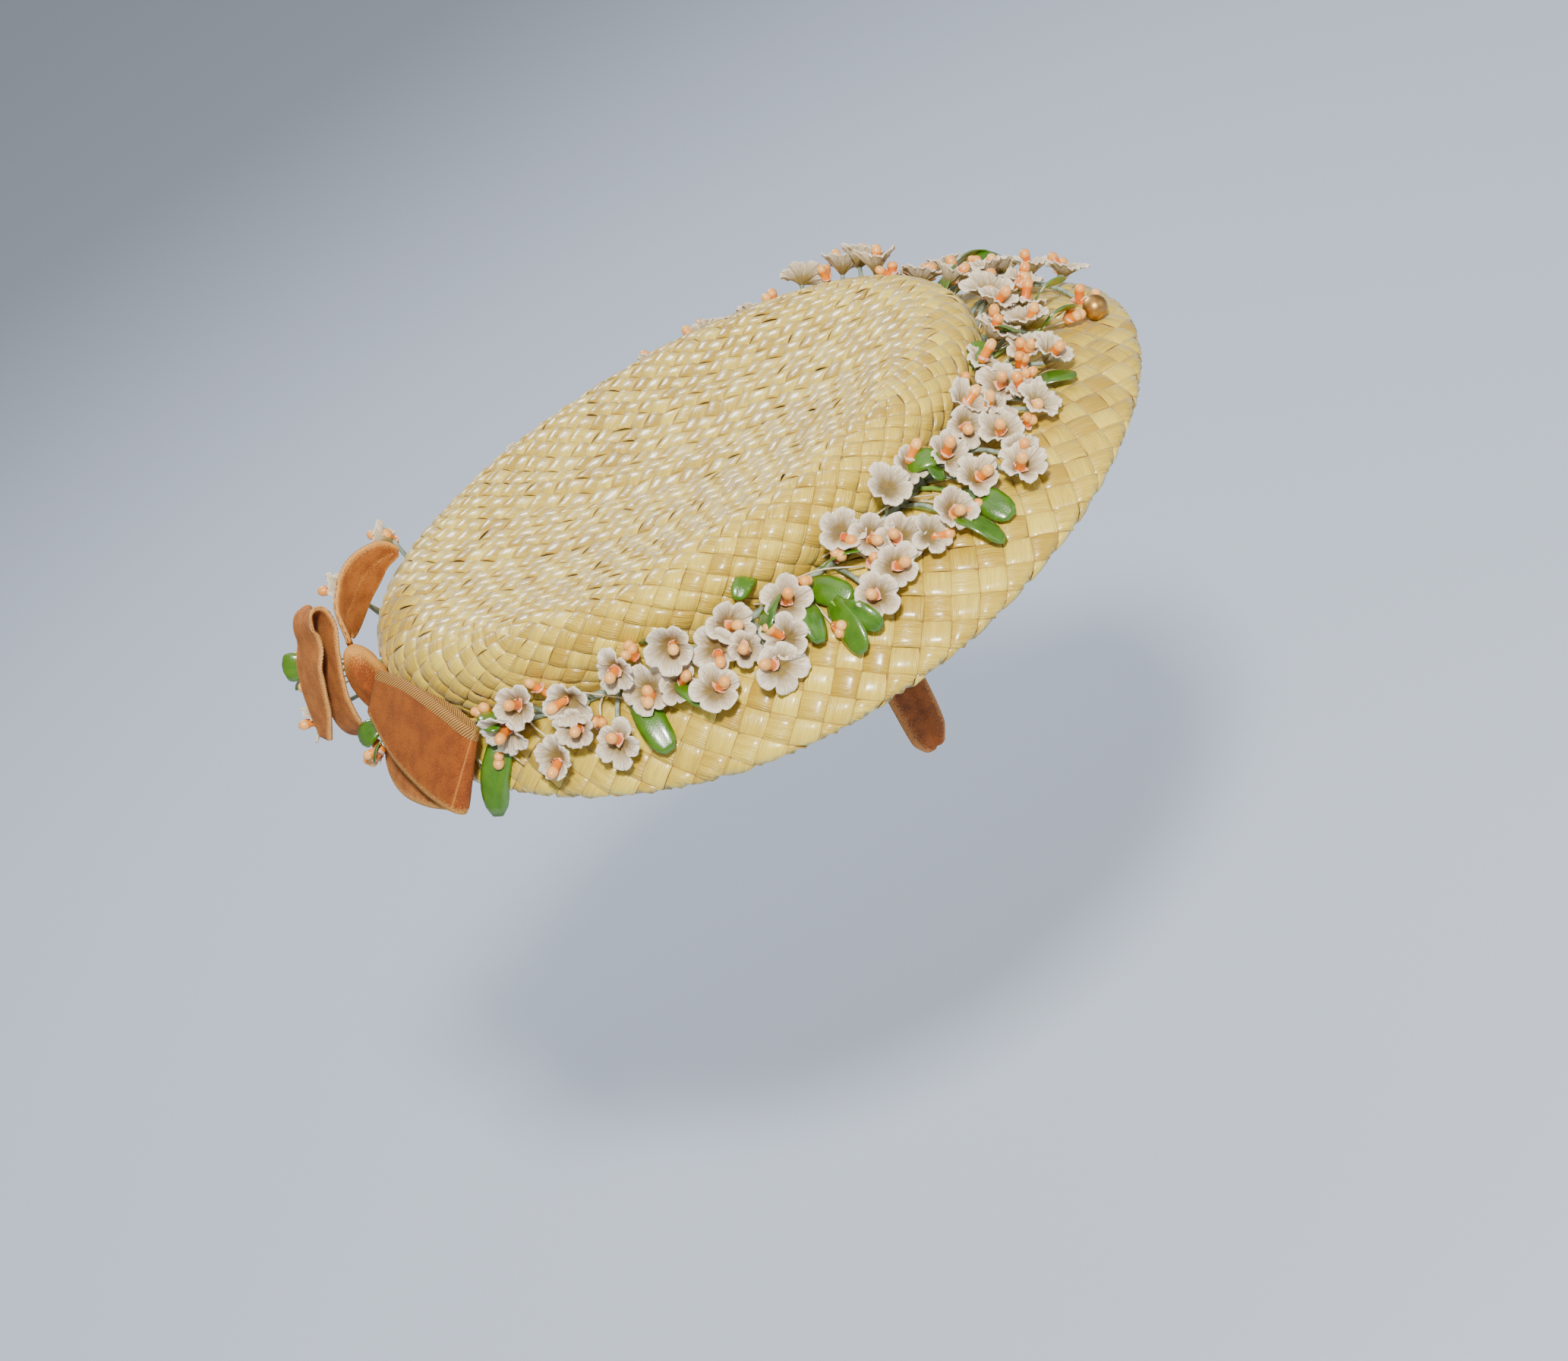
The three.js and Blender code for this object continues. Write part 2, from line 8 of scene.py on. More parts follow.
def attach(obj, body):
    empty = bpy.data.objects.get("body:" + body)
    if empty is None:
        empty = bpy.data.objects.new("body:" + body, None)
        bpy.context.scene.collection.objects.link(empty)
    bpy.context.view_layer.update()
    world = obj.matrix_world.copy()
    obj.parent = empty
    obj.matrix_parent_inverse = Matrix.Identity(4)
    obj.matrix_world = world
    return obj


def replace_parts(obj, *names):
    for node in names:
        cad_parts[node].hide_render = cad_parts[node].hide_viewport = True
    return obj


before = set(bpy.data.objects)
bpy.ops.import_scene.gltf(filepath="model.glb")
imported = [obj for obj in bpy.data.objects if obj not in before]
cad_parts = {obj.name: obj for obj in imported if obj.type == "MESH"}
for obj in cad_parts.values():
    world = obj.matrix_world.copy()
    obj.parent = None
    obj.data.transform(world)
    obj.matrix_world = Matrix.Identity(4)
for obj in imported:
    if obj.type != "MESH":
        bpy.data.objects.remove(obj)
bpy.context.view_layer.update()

# Camera, floor and light
# The hat is seen from its right side, from above its brim and from a little over a metre away, and is tipped
# back. The floor lies far below the brim, as under a worn hat. The light comes from near the camera.
MM = 0.001
ELEVATION = math.radians(24.5)
ROLL = math.radians(31.6)
DISTANCE = 1.2
LENS = 89.02
AIM_RIGHT = -0.0179
AIM_UP = 0.0348
AIM_DROP = 0.0341
FLOOR_DROP = 0.34
FLOOR_SIZE = 24
FLOOR_COLOUR = (0.5, 0.58, 0.72)
WORLD_COLOUR = (1, 0.985, 0.96)
WORLD_STRENGTH = 0.4
# Each light's place and size in metres, power and tint
LIGHTS = {
    "flash": ((0.1, -1.2, 0.95), 0.16, 40, (1, 0.97, 0.92)),
    "ceiling": ((0.3, 0.1, 1.5), 1.6, 8, (1, 0.98, 0.95)),
    "side": ((1.3, -0.7, 0.35), 0.9, 4, (1, 1, 1)),
    "rear": ((-0.1, 1.25, 0.85), 0.3, 13, (1, 1, 1)),
}


def put(tree, kind, inputs=None, **settings):
    """A new node. Each of its inputs takes a value, or the output that feeds it."""
    node = tree.nodes.new(kind)
    for key, value in settings.items():
        setattr(node, key, value)
    for key, value in (inputs or {}).items():
        if isinstance(value, bpy.types.NodeSocket):
            tree.links.new(value, node.inputs[key])
        else:
            node.inputs[key].default_value = value
    return node


def colour(rgb):
    return (*rgb, 1)


def new_material(name, **sockets):
    """A material with its Principled shader, and values set on the shader's own sockets."""
    material = bpy.data.materials.new(name)
    material.use_nodes = True
    shader = material.node_tree.nodes["Principled BSDF"]
    for key, value in sockets.items():
        shader.inputs[key.replace("_", " ")].default_value = value
    return material, material.node_tree, shader


def feed(tree, shader, **sockets):
    """Leads outputs of nodes into the shader's sockets."""
    for key, value in sockets.items():
        tree.links.new(value, shader.inputs[key.replace("_", " ")])


def mix(tree, share, low, high):
    """A colour between two, by a share."""
    node = put(tree, "ShaderNodeMix", {0: share, 6: low, 7: high}, data_type="RGBA")
    return node.outputs[2]


def calculate(tree, what, first, second=0.0):
    return put(tree, "ShaderNodeMath", {0: first, 1: second}, operation=what).outputs[0]


def stretch(tree, value, low, high, bottom=0.0, top=1.0):
    """A value spread from one range to another, held at its ends."""
    inputs = {"Value": value, "From Min": low, "From Max": high, "To Min": bottom, "To Max": top}
    return put(tree, "ShaderNodeMapRange", inputs).outputs["Result"]


camera = bpy.data.objects.new("camera", bpy.data.cameras.new("camera"))
bpy.context.collection.objects.link(camera)
bpy.context.scene.camera = camera
camera.data.lens = LENS
camera.data.sensor_width = 36
camera.data.clip_end = 100
back = np.array([0, -math.cos(ELEVATION), math.sin(ELEVATION)])
level_up = np.array([0, math.sin(ELEVATION), math.cos(ELEVATION)])
level_right = np.array([1, 0, 0])
right = math.cos(ROLL) * level_right - math.sin(ROLL) * level_up
up = math.sin(ROLL) * level_right + math.cos(ROLL) * level_up
stand = DISTANCE * back - AIM_RIGHT * right - AIM_UP * up - np.array([0, 0, AIM_DROP])
camera.matrix_world = Matrix([[*row] for row in np.stack([right, up, back, stand], 1)] + [[0, 0, 0, 1]])

for name, (place, size, power, tint) in LIGHTS.items():
    light = bpy.data.objects.new(name, bpy.data.lights.new(name, "AREA"))
    bpy.context.collection.objects.link(light)
    light.data.size = size
    light.data.energy = power
    light.data.color = tint
    light.location = place
    light.rotation_mode = "QUATERNION"
    light.rotation_quaternion = (-light.location).to_track_quat("-Z", "Y")

world = bpy.data.worlds.new("studio")
bpy.context.scene.world = world
world.use_nodes = True
world.node_tree.nodes["Background"].inputs["Color"].default_value = colour(WORLD_COLOUR)
world.node_tree.nodes["Background"].inputs["Strength"].default_value = WORLD_STRENGTH

floor_mesh = bpy.data.meshes.new("floor")
half_floor = FLOOR_SIZE / 2
corners = [(x * half_floor, y * half_floor, -FLOOR_DROP) for x, y in ((-1, -1), (1, -1), (1, 1), (-1, 1))]
floor_mesh.from_pydata(corners, [], [(0, 1, 2, 3)])
floor = bpy.data.objects.new("floor", floor_mesh)
bpy.context.collection.objects.link(floor)
floor_finish, tree, shader = new_material("pale floor", Roughness=0.9)
speckle = put(tree, "ShaderNodeTexNoise", {"Scale": 14.0, "Detail": 3.0})
shade = mix(tree, speckle.outputs["Fac"], colour(FLOOR_COLOUR), colour([c * 0.97 for c in FLOOR_COLOUR]))
feed(tree, shader, Base_Color=shade)
floor_mesh.materials.append(floor_finish)

# Straw body
# Crown and brim are one sheet of glossy flat straw strips, plaited over and under on the slant, pressed to a
# dished crown and a sloping brim, and folded under at the edge. A filler layer behind the plait is painted
# dark brown as shade, so that the gaps between checks show as shadowed holes.
CROWN_LENGTH = 208.6
CROWN_WIDTH = 183.6
CROWN_HEIGHT = 25
CROWN_DISH = 7
STRAW_WALL = 1.6
SEAT_CLEARANCE = 1.6
BRIM_FRONT = 146.5
BRIM_SIDE = 122
BRIM_REAR = 110.5
DROP_FRONT = 12.4
DROP_SIDE = 28.5
DROP_REAR = 7.8
HEM_WIDTH = 6
HEM_THICKNESS = 3
RIM_HEIGHT = SEAT_CLEARANCE + STRAW_WALL + CROWN_DISH
CREASE_HEIGHT = RIM_HEIGHT - CROWN_HEIGHT
# The crown: across in shares of its half width, dip of its dish, fall of its height
CROWN_ROWS = np.array([
    (0, 1, 0), (0.25, 0.95, 0), (0.5, 0.62, 0), (0.7, 0.22, 0), (0.84, 0, 0), (0.93, 0, 0.07),
    (0.98, 0, 0.24), (1, 0, 0.5), (0.985, 0, 0.78), (0.955, 0, 1),
])
# The brim: out in shares of its width, drop of its drop
BRIM_ROWS = np.array([(0.12, -0.02), (0.35, 0.1), (0.6, 0.34), (0.82, 0.66), (0.94, 0.86), (1, 1)])
CREASE_SHARE = CROWN_ROWS[-1][0]
SPAN_STEPS = 16
# The plait: checks along each side of the middle square, rows from it to the crease, and a brim row's width
SQUARE = 34
SQUARE_SHARE = 0.62
CROWN_RINGS = 10
BRIM_RINGS = 12
BRIM_RING = 5.4
STRAW_LIGHT = (0.82, 0.62, 0.075)
STRAW_DARK = (0.47, 0.29, 0.012)
STRAW_SHADOW = (0.26, 0.13, 0.02)
# Painted shade: the inner layer's dark browns, which show as shadow through gaps in the plait
CORE_SHADE_COLOURS = ((0.13, 0.075, 0.015), (0.32, 0.2, 0.05))
# The width of a fibre in millimetres, and of a broad band against it
FIBRE_WIDTH = 0.45
BAND_SHARE = 0.22
# The two faces of the inner layer below the straw's upper face, and its steps out and round
CORE_UPPER = -0.62
CORE_LOWER = -0.98
CORE_STEPS = 54
CORE_SIDES = 120


def crown_reach(turn):
    return 1 / np.hypot(np.cos(turn) / (CROWN_LENGTH / 2), np.sin(turn) / (CROWN_WIDTH / 2))


def around(front, side, rear, turn):
    ends = (front + rear) / 2
    return (ends + side) / 2 + (front - rear) / 2 * np.cos(turn) + (ends - side) / 2 * np.cos(2 * turn)


def crease_reach(turn):
    return CREASE_SHARE * crown_reach(turn)


def brim_reach(turn):
    return around(BRIM_FRONT, BRIM_SIDE, BRIM_REAR, turn)


def unit(v):
    return v / np.maximum(np.linalg.norm(v, axis=-1, keepdims=True), 1e-9)


def spline(rows, steps):
    """Points along an even curve through rows of points, with steps to each span."""
    rows = np.asarray(rows, float)
    p = np.concatenate([[2 * rows[0] - rows[1]], rows, [2 * rows[-1] - rows[-2]]])
    gap = np.sqrt(np.linalg.norm(np.diff(p, axis=0), axis=-1, keepdims=True))
    a, b, c, d = (p[k:len(p) - 3 + k, None] for k in range(4))
    before, span, after = (gap[k:len(gap) - 2 + k, None] for k in range(3))
    start = ((b - a) / before - (c - a) / (before + span) + (c - b) / span) * span
    end = ((c - b) / span - (d - b) / (span + after) + (d - c) / after) * span
    t = (np.arange(steps) / steps).reshape((1, -1) + (1,) * (rows.ndim - 1))
    curve = b + t * start + t ** 2 * (3 * (c - b) - 2 * start - end) + t ** 3 * (2 * (b - c) + start + end)
    return np.concatenate([curve.reshape((-1,) + rows.shape[1:]), rows[-1:]])


def section(turn):
    """The straw's upper surface at each turn, from the crown's middle to the edge, as radius and height."""
    reach = crown_reach(turn)
    across, dip, fall = CROWN_ROWS.T[..., None]
    out, drop = BRIM_ROWS.T[..., None]
    crease = CREASE_SHARE * reach
    brim_drop = around(DROP_FRONT, DROP_SIDE, DROP_REAR, turn)
    level = RIM_HEIGHT - dip * CROWN_DISH - fall * CROWN_HEIGHT + 0 * reach
    top = np.stack([across * reach, level], -1)
    brim = np.stack([crease + out * (brim_reach(turn) - crease), CREASE_HEIGHT - drop * brim_drop], -1)
    return spline(np.concatenate([top, brim]), SPAN_STEPS)


TABLE_TURNS = 240
TABLE_STEP = 0.5
LIP = math.pi * HEM_THICKNESS / 2
table_turns = np.linspace(-math.pi, math.pi, TABLE_TURNS + 1)
sections = section(table_turns)
lengths = np.zeros(sections.shape[:2])
lengths[1:] = np.cumsum(np.linalg.norm(np.diff(sections, axis=0), axis=-1), axis=0)
crease_lengths = lengths[(len(CROWN_ROWS) - 1) * SPAN_STEPS]
edge_lengths = lengths[-1] - HEM_THICKNESS / 2
run = np.arange(0, edge_lengths.max() + LIP + 2 * HEM_WIDTH, TABLE_STEP)


def run_of(line, length, edge):
    """One section at even steps along the straw: over the top, round the hem's lip and back below."""
    lip = np.clip(run - edge, 0, LIP) / LIP * math.pi
    place = np.minimum(run, edge) - np.clip(run - edge - LIP, 0, None)
    at = [np.stack([np.interp(place + s, length, line[:, k]) for k in (0, 1)], -1) for s in (-0.3, 0, 0.3)]
    way = unit(at[2] - at[0])
    out = np.stack([-way[:, 1], way[:, 0]], -1)
    radius = HEM_THICKNESS / 2
    return at[1] + radius * (out * (np.cos(lip) - 1)[:, None] + way * np.sin(lip)[:, None])


flat_runs = np.stack([
    run_of(sections[:, j], lengths[:, j], edge_lengths[j]) for j in range(TABLE_TURNS + 1)
])
table_points = np.stack([
    flat_runs[..., 0] * np.cos(table_turns)[:, None],
    flat_runs[..., 0] * np.sin(table_turns)[:, None],
    flat_runs[..., 1],
], -1)
along_run = np.gradient(table_points, axis=1)
round_run = np.gradient(table_points, axis=0)
round_run[0] = round_run[-1] = table_points[1] - table_points[-2]
table_normals = unit(np.cross(along_run, round_run))
table_normals[:, :2] = (0, 0, 1)


def over_turns(values, turn):
    """A list of values round the hat, read at a turn."""
    return np.interp((turn + math.pi) % (2 * math.pi) - math.pi, table_turns, values)


def on_straw(place, lift):
    """The points at places on the straw laid out flat about the crown's middle, lifted off its face."""
    s = np.clip(np.hypot(place[..., 0], place[..., 1]) / TABLE_STEP, 0, len(run) - 1.001)
    t = (np.arctan2(place[..., 1], place[..., 0]) + math.pi) / (2 * math.pi) * TABLE_TURNS
    i = np.clip(t.astype(int), 0, TABLE_TURNS - 1)
    k = s.astype(int)
    f = (t - i)[..., None]
    g = (s - k)[..., None]

    def read(table):
        near = table[i, k] * (1 - g) + table[i, k + 1] * g
        far = table[i + 1, k] * (1 - g) + table[i + 1, k + 1] * g
        return near * (1 - f) + far * f

    return read(table_points) + unit(read(table_normals)) * lift[..., None]


def disc(turn, length):
    return np.stack([length * np.cos(turn), length * np.sin(turn)], -1)


# The turns of the rows' ends, evenly spaced along the brim
start_turn = -0.75 * math.pi
fine_turns = start_turn + np.linspace(0, 2 * math.pi, 1441)
outline = disc(fine_turns, (crease_reach(fine_turns) + brim_reach(fine_turns)) / 2)
outline_length = np.concatenate([[0], np.cumsum(np.linalg.norm(np.diff(outline, axis=0), axis=-1))])
outline_share = outline_length / outline_length[-1]
AROUND = 4 * SQUARE


def place_in_square(a, b):
    """A place in the plait's middle square, from -1 to 1 each way, eased to the crown's round form."""
    m = np.maximum(np.abs(a), np.abs(b))
    ca, cb = (np.clip(x / np.maximum(m, 1e-9), -1, 1) for x in (a, b))
    sides = [b <= -m + 1e-9, a >= m - 1e-9, b >= m - 1e-9]
    shares = [(ca + 1) / 8, (cb + 3) / 8, (5 - ca) / 8]
    turn = np.interp(np.select(sides, shares, (7 - cb) / 8), outline_share, fine_turns)
    round_place = disc(turn, SQUARE_SHARE * m * over_turns(crease_lengths, turn))
    half = [over_turns(crease_lengths, t) for t in (0, math.pi / 2)]
    square_place = SQUARE_SHARE * np.stack([a * half[0], b * half[1]], -1)
    ease = 0.5 * m[..., None] ** 2
    return square_place * (1 - ease) + round_place * ease


def plait_grid():
    """The plait's grid of corners, and for each check its four corners with the strip's end first."""
    p, q = np.meshgrid(np.arange(SQUARE + 1), np.arange(SQUARE + 1), indexing="ij")
    inner = place_in_square(2 * p / SQUARE - 1, 2 * q / SQUARE - 1)
    at_inner = p * (SQUARE + 1) + q
    side = np.arange(SQUARE)
    zero = 0 * side
    rim = np.concatenate([
        at_inner[side, zero], at_inner[zero + SQUARE, side],
        at_inner[SQUARE - side, zero + SQUARE], at_inner[zero, SQUARE - side],
    ])
    inside = np.concatenate([
        at_inner[side, zero + 1], at_inner[zero + SQUARE - 1, side],
        at_inner[SQUARE - side, zero + SQUARE - 1], at_inner[zero + 1, SQUARE - side],
    ])
    turn = np.interp(np.arange(AROUND) / AROUND, outline_share, fine_turns)
    crease = over_turns(crease_lengths, turn)
    start = inner.reshape(-1, 2)[rim]
    rings = []
    for k in range(1, CROWN_RINGS + BRIM_RINGS + 1):
        share = min(k / CROWN_RINGS, 1)
        past = max(k - CROWN_RINGS, 0) * BRIM_RING
        rings.append(start * (1 - share) + disc(turn, crease) * share + disc(turn, past))
    places = np.concatenate([inner.reshape(-1, 2), *rings])
    in_rings = np.arange(len(rings) * AROUND).reshape(-1, AROUND)
    at_ring = np.concatenate([rim[None], inner[..., 0].size + in_rings])
    checks = []
    for a in range(1, SQUARE):
        for b in range(1, SQUARE):
            if (a + b) % 2:
                ring = [at_inner[a + 1, b], at_inner[a, b + 1], at_inner[a - 1, b], at_inner[a, b - 1]]
                checks.append((ring if a % 2 else ring[1:] + ring[:1], a % 2))
    for k in range(len(rings)):
        for i in range(AROUND):
            if (i + k) % 2:
                within = at_ring[k - 1, i] if k else inside[i]
                ring = [at_ring[k + 1, i], at_ring[k, (i + 1) % AROUND], within, at_ring[k, i - 1]]
                checks.append((ring[1:] + ring[:1] if i % 2 else ring, i % 2))
    return places, np.array([c[0] for c in checks]), np.array([c[1] for c in checks])


def patch_faces(count, rows, columns):
    """The faces of a number of separate grids of points, of rows by columns each."""
    r, c = np.meshgrid(np.arange(rows - 1), np.arange(columns - 1), indexing="ij")
    a = (r * columns + c).ravel()
    one = np.stack([a, a + 1, a + columns + 1, a + columns], -1)
    return (one[None] + (np.arange(count) * rows * columns)[:, None, None]).reshape(-1, 4)


def add_piece(name, points, faces, finish, slot, values=None, places=None):
    """A mesh of points in millimetres, with values or a flat place for each point, that rides on the hat."""
    mesh = bpy.data.meshes.new(name)
    mesh.from_pydata((np.asarray(points) * MM).tolist(), [], [list(f) for f in faces])
    for key, value in (values or {}).items():
        mesh.attributes.new(key, "FLOAT", "POINT").data.foreach_set("value", np.asarray(value, np.float32))
    if places is not None:
        corners = np.zeros(len(mesh.loops), np.int32)
        mesh.loops.foreach_get("vertex_index", corners)
        layer = mesh.uv_layers.new(name="flat place")
        layer.data.foreach_set("uv", np.asarray(places, np.float32)[corners].ravel())
    mesh.polygons.foreach_set("use_smooth", [True] * len(mesh.polygons))
    mesh.materials.append(finish)
    piece = bpy.data.objects.new(name, mesh)
    bpy.context.collection.objects.link(piece)
    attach(piece, "root")
    return piece


# How high a check stands along its strip, from end to end, and across it, from border to border
END_ROWS = np.array([-0.06, 0.07, 0.34, 0.66, 0.93, 1.06])
END_RISE = np.array([-0.62, 0.0, 0.34, 0.34, 0.0, -0.62])
BORDER_ROWS = np.array([-0.02, 0.02, 0.33, 0.67, 0.98, 1.02])
BORDER_RISE = np.array([-0.5, 0.0, 0.1, 0.1, 0.0, -0.5])
UNDER_ROWS = np.array([-0.05, 0.25, 0.75, 1.05])
UNDER_RISE = np.array([-0.25, 0.15, 0.15, -0.25])
# How far checks lean above and below, how far the strips run out of line, how their tones differ at random,
# and the painted sheen by which checks of one strip direction are lighter than those of the other
CHECK_TILT = 0.3
UNDER_TILT = 0.1
STRAY = 0.14
CROWN_STRAY = 0.34
TONE_SPREAD = 0.2
FAMILY_SHEEN = 0.13
straw_random = np.random.default_rng(11)


def crown_waves(place):
    """The soft creases of the crown's top, which run slantwise across it and fade towards its rim."""
    x, y = place[..., 0], place[..., 1]
    fade = np.clip(1.15 - np.hypot(x, y) / 88, 0, 1)
    slant = 0.55 * x + 0.83 * y
    across = 0.83 * x - 0.55 * y
    waves = 0.9 * np.sin(slant / 5.1 + 1.3 * np.sin(across / 23)) + 0.55 * np.sin(slant / 2.9 + across / 17)
    return fade * (waves - 1.6 * np.exp(-((slant - 12) / 17) ** 2))


def plait(corners, rows, columns, row_rise, column_rise, face, tilt):
    """The points and flat places of a check for each four corners, face 1 on the upper side or -1 below."""
    count = len(corners)
    q0, q1, q2, q3 = (corners[:, k, None, None] for k in range(4))
    u = rows[None, :, None, None]
    v = columns[None, None, :, None]
    near, far = q0 + (q1 - q0) * v, q3 + (q2 - q3) * v
    place = near + (far - near) * u
    rise = row_rise[None, :, None] + column_rise[None, None, :]
    lean = straw_random.normal(0, tilt, (2, count))[..., None, None]
    rise = rise + lean[0] * (rows - 0.5)[None, :, None] + lean[1] * (columns - 0.5)[None, None, :]
    depth = 0 if face > 0 else -STRAW_WALL
    points = on_straw(place, crown_waves(place) + depth + face * rise)
    wide = np.linalg.norm(q1 - q0, axis=-1)
    long = np.linalg.norm(q2 - q1, axis=-1)
    start = straw_random.uniform(0, 300, (2, count))[..., None, None]
    flat_places = np.stack(np.broadcast_arrays(
        rows[None, :, None] * long + start[0], columns[None, None, :] * wide + start[1]), -1)
    return points.reshape(-1, 3), flat_places.reshape(-1, 2)


grid, checks, families = plait_grid()
grid_reach = np.hypot(*grid.T)
# The strips run a little out of line, and more so towards the crown's middle
loose = STRAY + CROWN_STRAY * np.clip(1.2 - grid_reach / 80, 0, 1)
grid = grid + straw_random.normal(0, 1, grid.shape) * loose[:, None]
check_corners = grid[checks]
check_middle = check_corners.mean(1)
check_turn = np.arctan2(check_middle[:, 1], check_middle[:, 0])
past_edge = np.hypot(*check_middle.T) - over_turns(edge_lengths, check_turn)
upper = past_edge < LIP + HEM_WIDTH - 1
lower = past_edge < -2.5
# Painted sheen: checks of one strip direction are lighter and the others darker, as if their fibres caught
# the light differently; the rest of the tone differs at random
family_sheen = np.where(families, FAMILY_SHEEN, -FAMILY_SHEEN)
tones = np.clip(straw_random.normal(0.5, TONE_SPREAD, len(checks)) + family_sheen, 0, 1)


def new_group(name, inputs, outputs):
    """A shader node group with named inputs and outputs, and the sockets of both on its inside."""
    group = bpy.data.node_groups.new(name, "ShaderNodeTree")
    for in_out, sockets in (("INPUT", inputs), ("OUTPUT", outputs)):
        for label, kind in sockets.items():
            group.interface.new_socket(label, in_out=in_out, socket_type="NodeSocket" + kind)
    return group, group.nodes.new("NodeGroupInput").outputs, group.nodes.new("NodeGroupOutput").inputs


def place_group(tree, group, values):
    """A group placed in a material with its own values."""
    placed = put(tree, "ShaderNodeGroup", {}, node_tree=group)
    for label, value in values.items():
        placed.inputs[label].default_value = value
    return placed


def point_value(tree, name):
    return put(tree, "ShaderNodeAttribute", attribute_name=name).outputs["Fac"]


def bumped(tree, shader, height, distance, strength=1.0):
    bump = put(tree, "ShaderNodeBump", {"Height": height, "Distance": distance, "Strength": strength})
    feed(tree, shader, Normal=bump.outputs[0])


streaks, given, result = new_group(
    "fibre streaks",
    {"Place": "Vector", "Tone": "Float", "Light": "Color", "Dark": "Color", "Width": "Float"},
    {"Color": "Color", "Height": "Float", "Gloss": "Float"},
)
along = put(streaks, "ShaderNodeVectorMath", {0: given["Place"], 1: (0.07, 1.0, 1.0)}, operation="MULTIPLY")
per_width = calculate(streaks, "DIVIDE", 1.0, given["Width"])
fine = put(streaks, "ShaderNodeTexNoise", {"Vector": along.outputs[0], "Scale": per_width, "Detail": 2.0})
per_band = calculate(streaks, "MULTIPLY", per_width, BAND_SHARE)
broad = put(streaks, "ShaderNodeTexNoise", {"Vector": along.outputs[0], "Scale": per_band, "Detail": 2.0})
streak = stretch(streaks, fine.outputs["Fac"], 0.32, 0.68)
band = stretch(streaks, broad.outputs["Fac"], 0.3, 0.7, -0.22, 0.22)
share = calculate(streaks, "ADD", given["Tone"], band)
share = calculate(streaks, "ADD", share, stretch(streaks, streak, 0.0, 1.0, -0.24, 0.16))
streaks.links.new(mix(streaks, share, given["Dark"], given["Light"]), result["Color"])
streaks.links.new(streak, result["Height"])
streaks.links.new(stretch(streaks, streak, 0.0, 1.0, 0.42, 0.24), result["Gloss"])

straw_finish, tree, shader = new_material(
    "glossy plaited straw", Coat_Weight=0.5, Coat_Roughness=0.19, Sheen_Weight=0.15)
fibre = place_group(tree, streaks, {
    "Light": colour(STRAW_LIGHT), "Dark": colour(STRAW_DARK), "Width": FIBRE_WIDTH})
tree.links.new(put(tree, "ShaderNodeUVMap", uv_map="flat place").outputs[0], fibre.inputs["Place"])
tree.links.new(point_value(tree, "tone"), fibre.inputs["Tone"])
raised = stretch(tree, point_value(tree, "rise"), -0.45, -0.12)
shade = mix(tree, raised, colour(STRAW_SHADOW), fibre.outputs["Color"])
feed(tree, shader, Base_Color=shade, Roughness=fibre.outputs["Gloss"])
bumped(tree, shader, fibre.outputs["Height"], 0.0002, 0.8)


def plait_piece(name, chosen, rows, columns, row_rise, column_rise, face, tilt):
    points, places = plait(check_corners[chosen], rows, columns, row_rise, column_rise, face, tilt)
    count = int(chosen.sum())
    faces = patch_faces(count, len(rows), len(columns))
    if face < 0:
        faces = faces[:, ::-1]
    each = len(rows) * len(columns)
    rise = np.minimum(row_rise[:, None], column_rise)
    values = {"tone": np.repeat(tones[chosen], each), "rise": np.tile(rise.ravel(), count)}
    piece = add_piece(name, points, faces, straw_finish, "straw", values, places)
    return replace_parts(piece, "straw_body")


plait_piece("straw_plait", upper, END_ROWS, BORDER_ROWS, END_RISE, BORDER_RISE, 1, CHECK_TILT)
plait_piece("straw_plait_underside", lower, UNDER_ROWS, UNDER_ROWS, UNDER_RISE, UNDER_RISE, -1, UNDER_TILT)


def outward(points, faces):
    """The faces of a closed body, turned to face outwards."""
    p = points[np.array([f[:3] for f in faces])]
    volume = np.einsum("ij,ij->", p[:, 0], np.cross(p[:, 1], p[:, 2]))
    q = points[np.array([(f[0], f[2], f[3]) for f in faces if len(f) == 4])]
    volume += np.einsum("ij,ij->", q[:, 0], np.cross(q[:, 1], q[:, 2]))
    return faces if volume > 0 else [f[::-1] for f in faces]


def loft(rings):
    """The points and faces of a closed body of rings of points, with its ends filled to their middles."""
    n = len(rings[0])
    points = np.concatenate([*rings, [rings[0].mean(0), rings[-1].mean(0)]])
    i = np.arange(n)
    following = (i + 1) % n
    faces = []
    for k in range(len(rings) - 1):
        a = k * n
        faces += np.stack([a + i, a + following, a + n + following, a + n + i], -1).tolist()
    top = (len(rings) - 1) * n
    faces += [[len(points) - 2, b, a] for a, b in zip(i.tolist(), following.tolist())]
    faces += [[len(points) - 1, top + a, top + b] for a, b in zip(i.tolist(), following.tolist())]
    return points, outward(points - points.mean(0), faces)


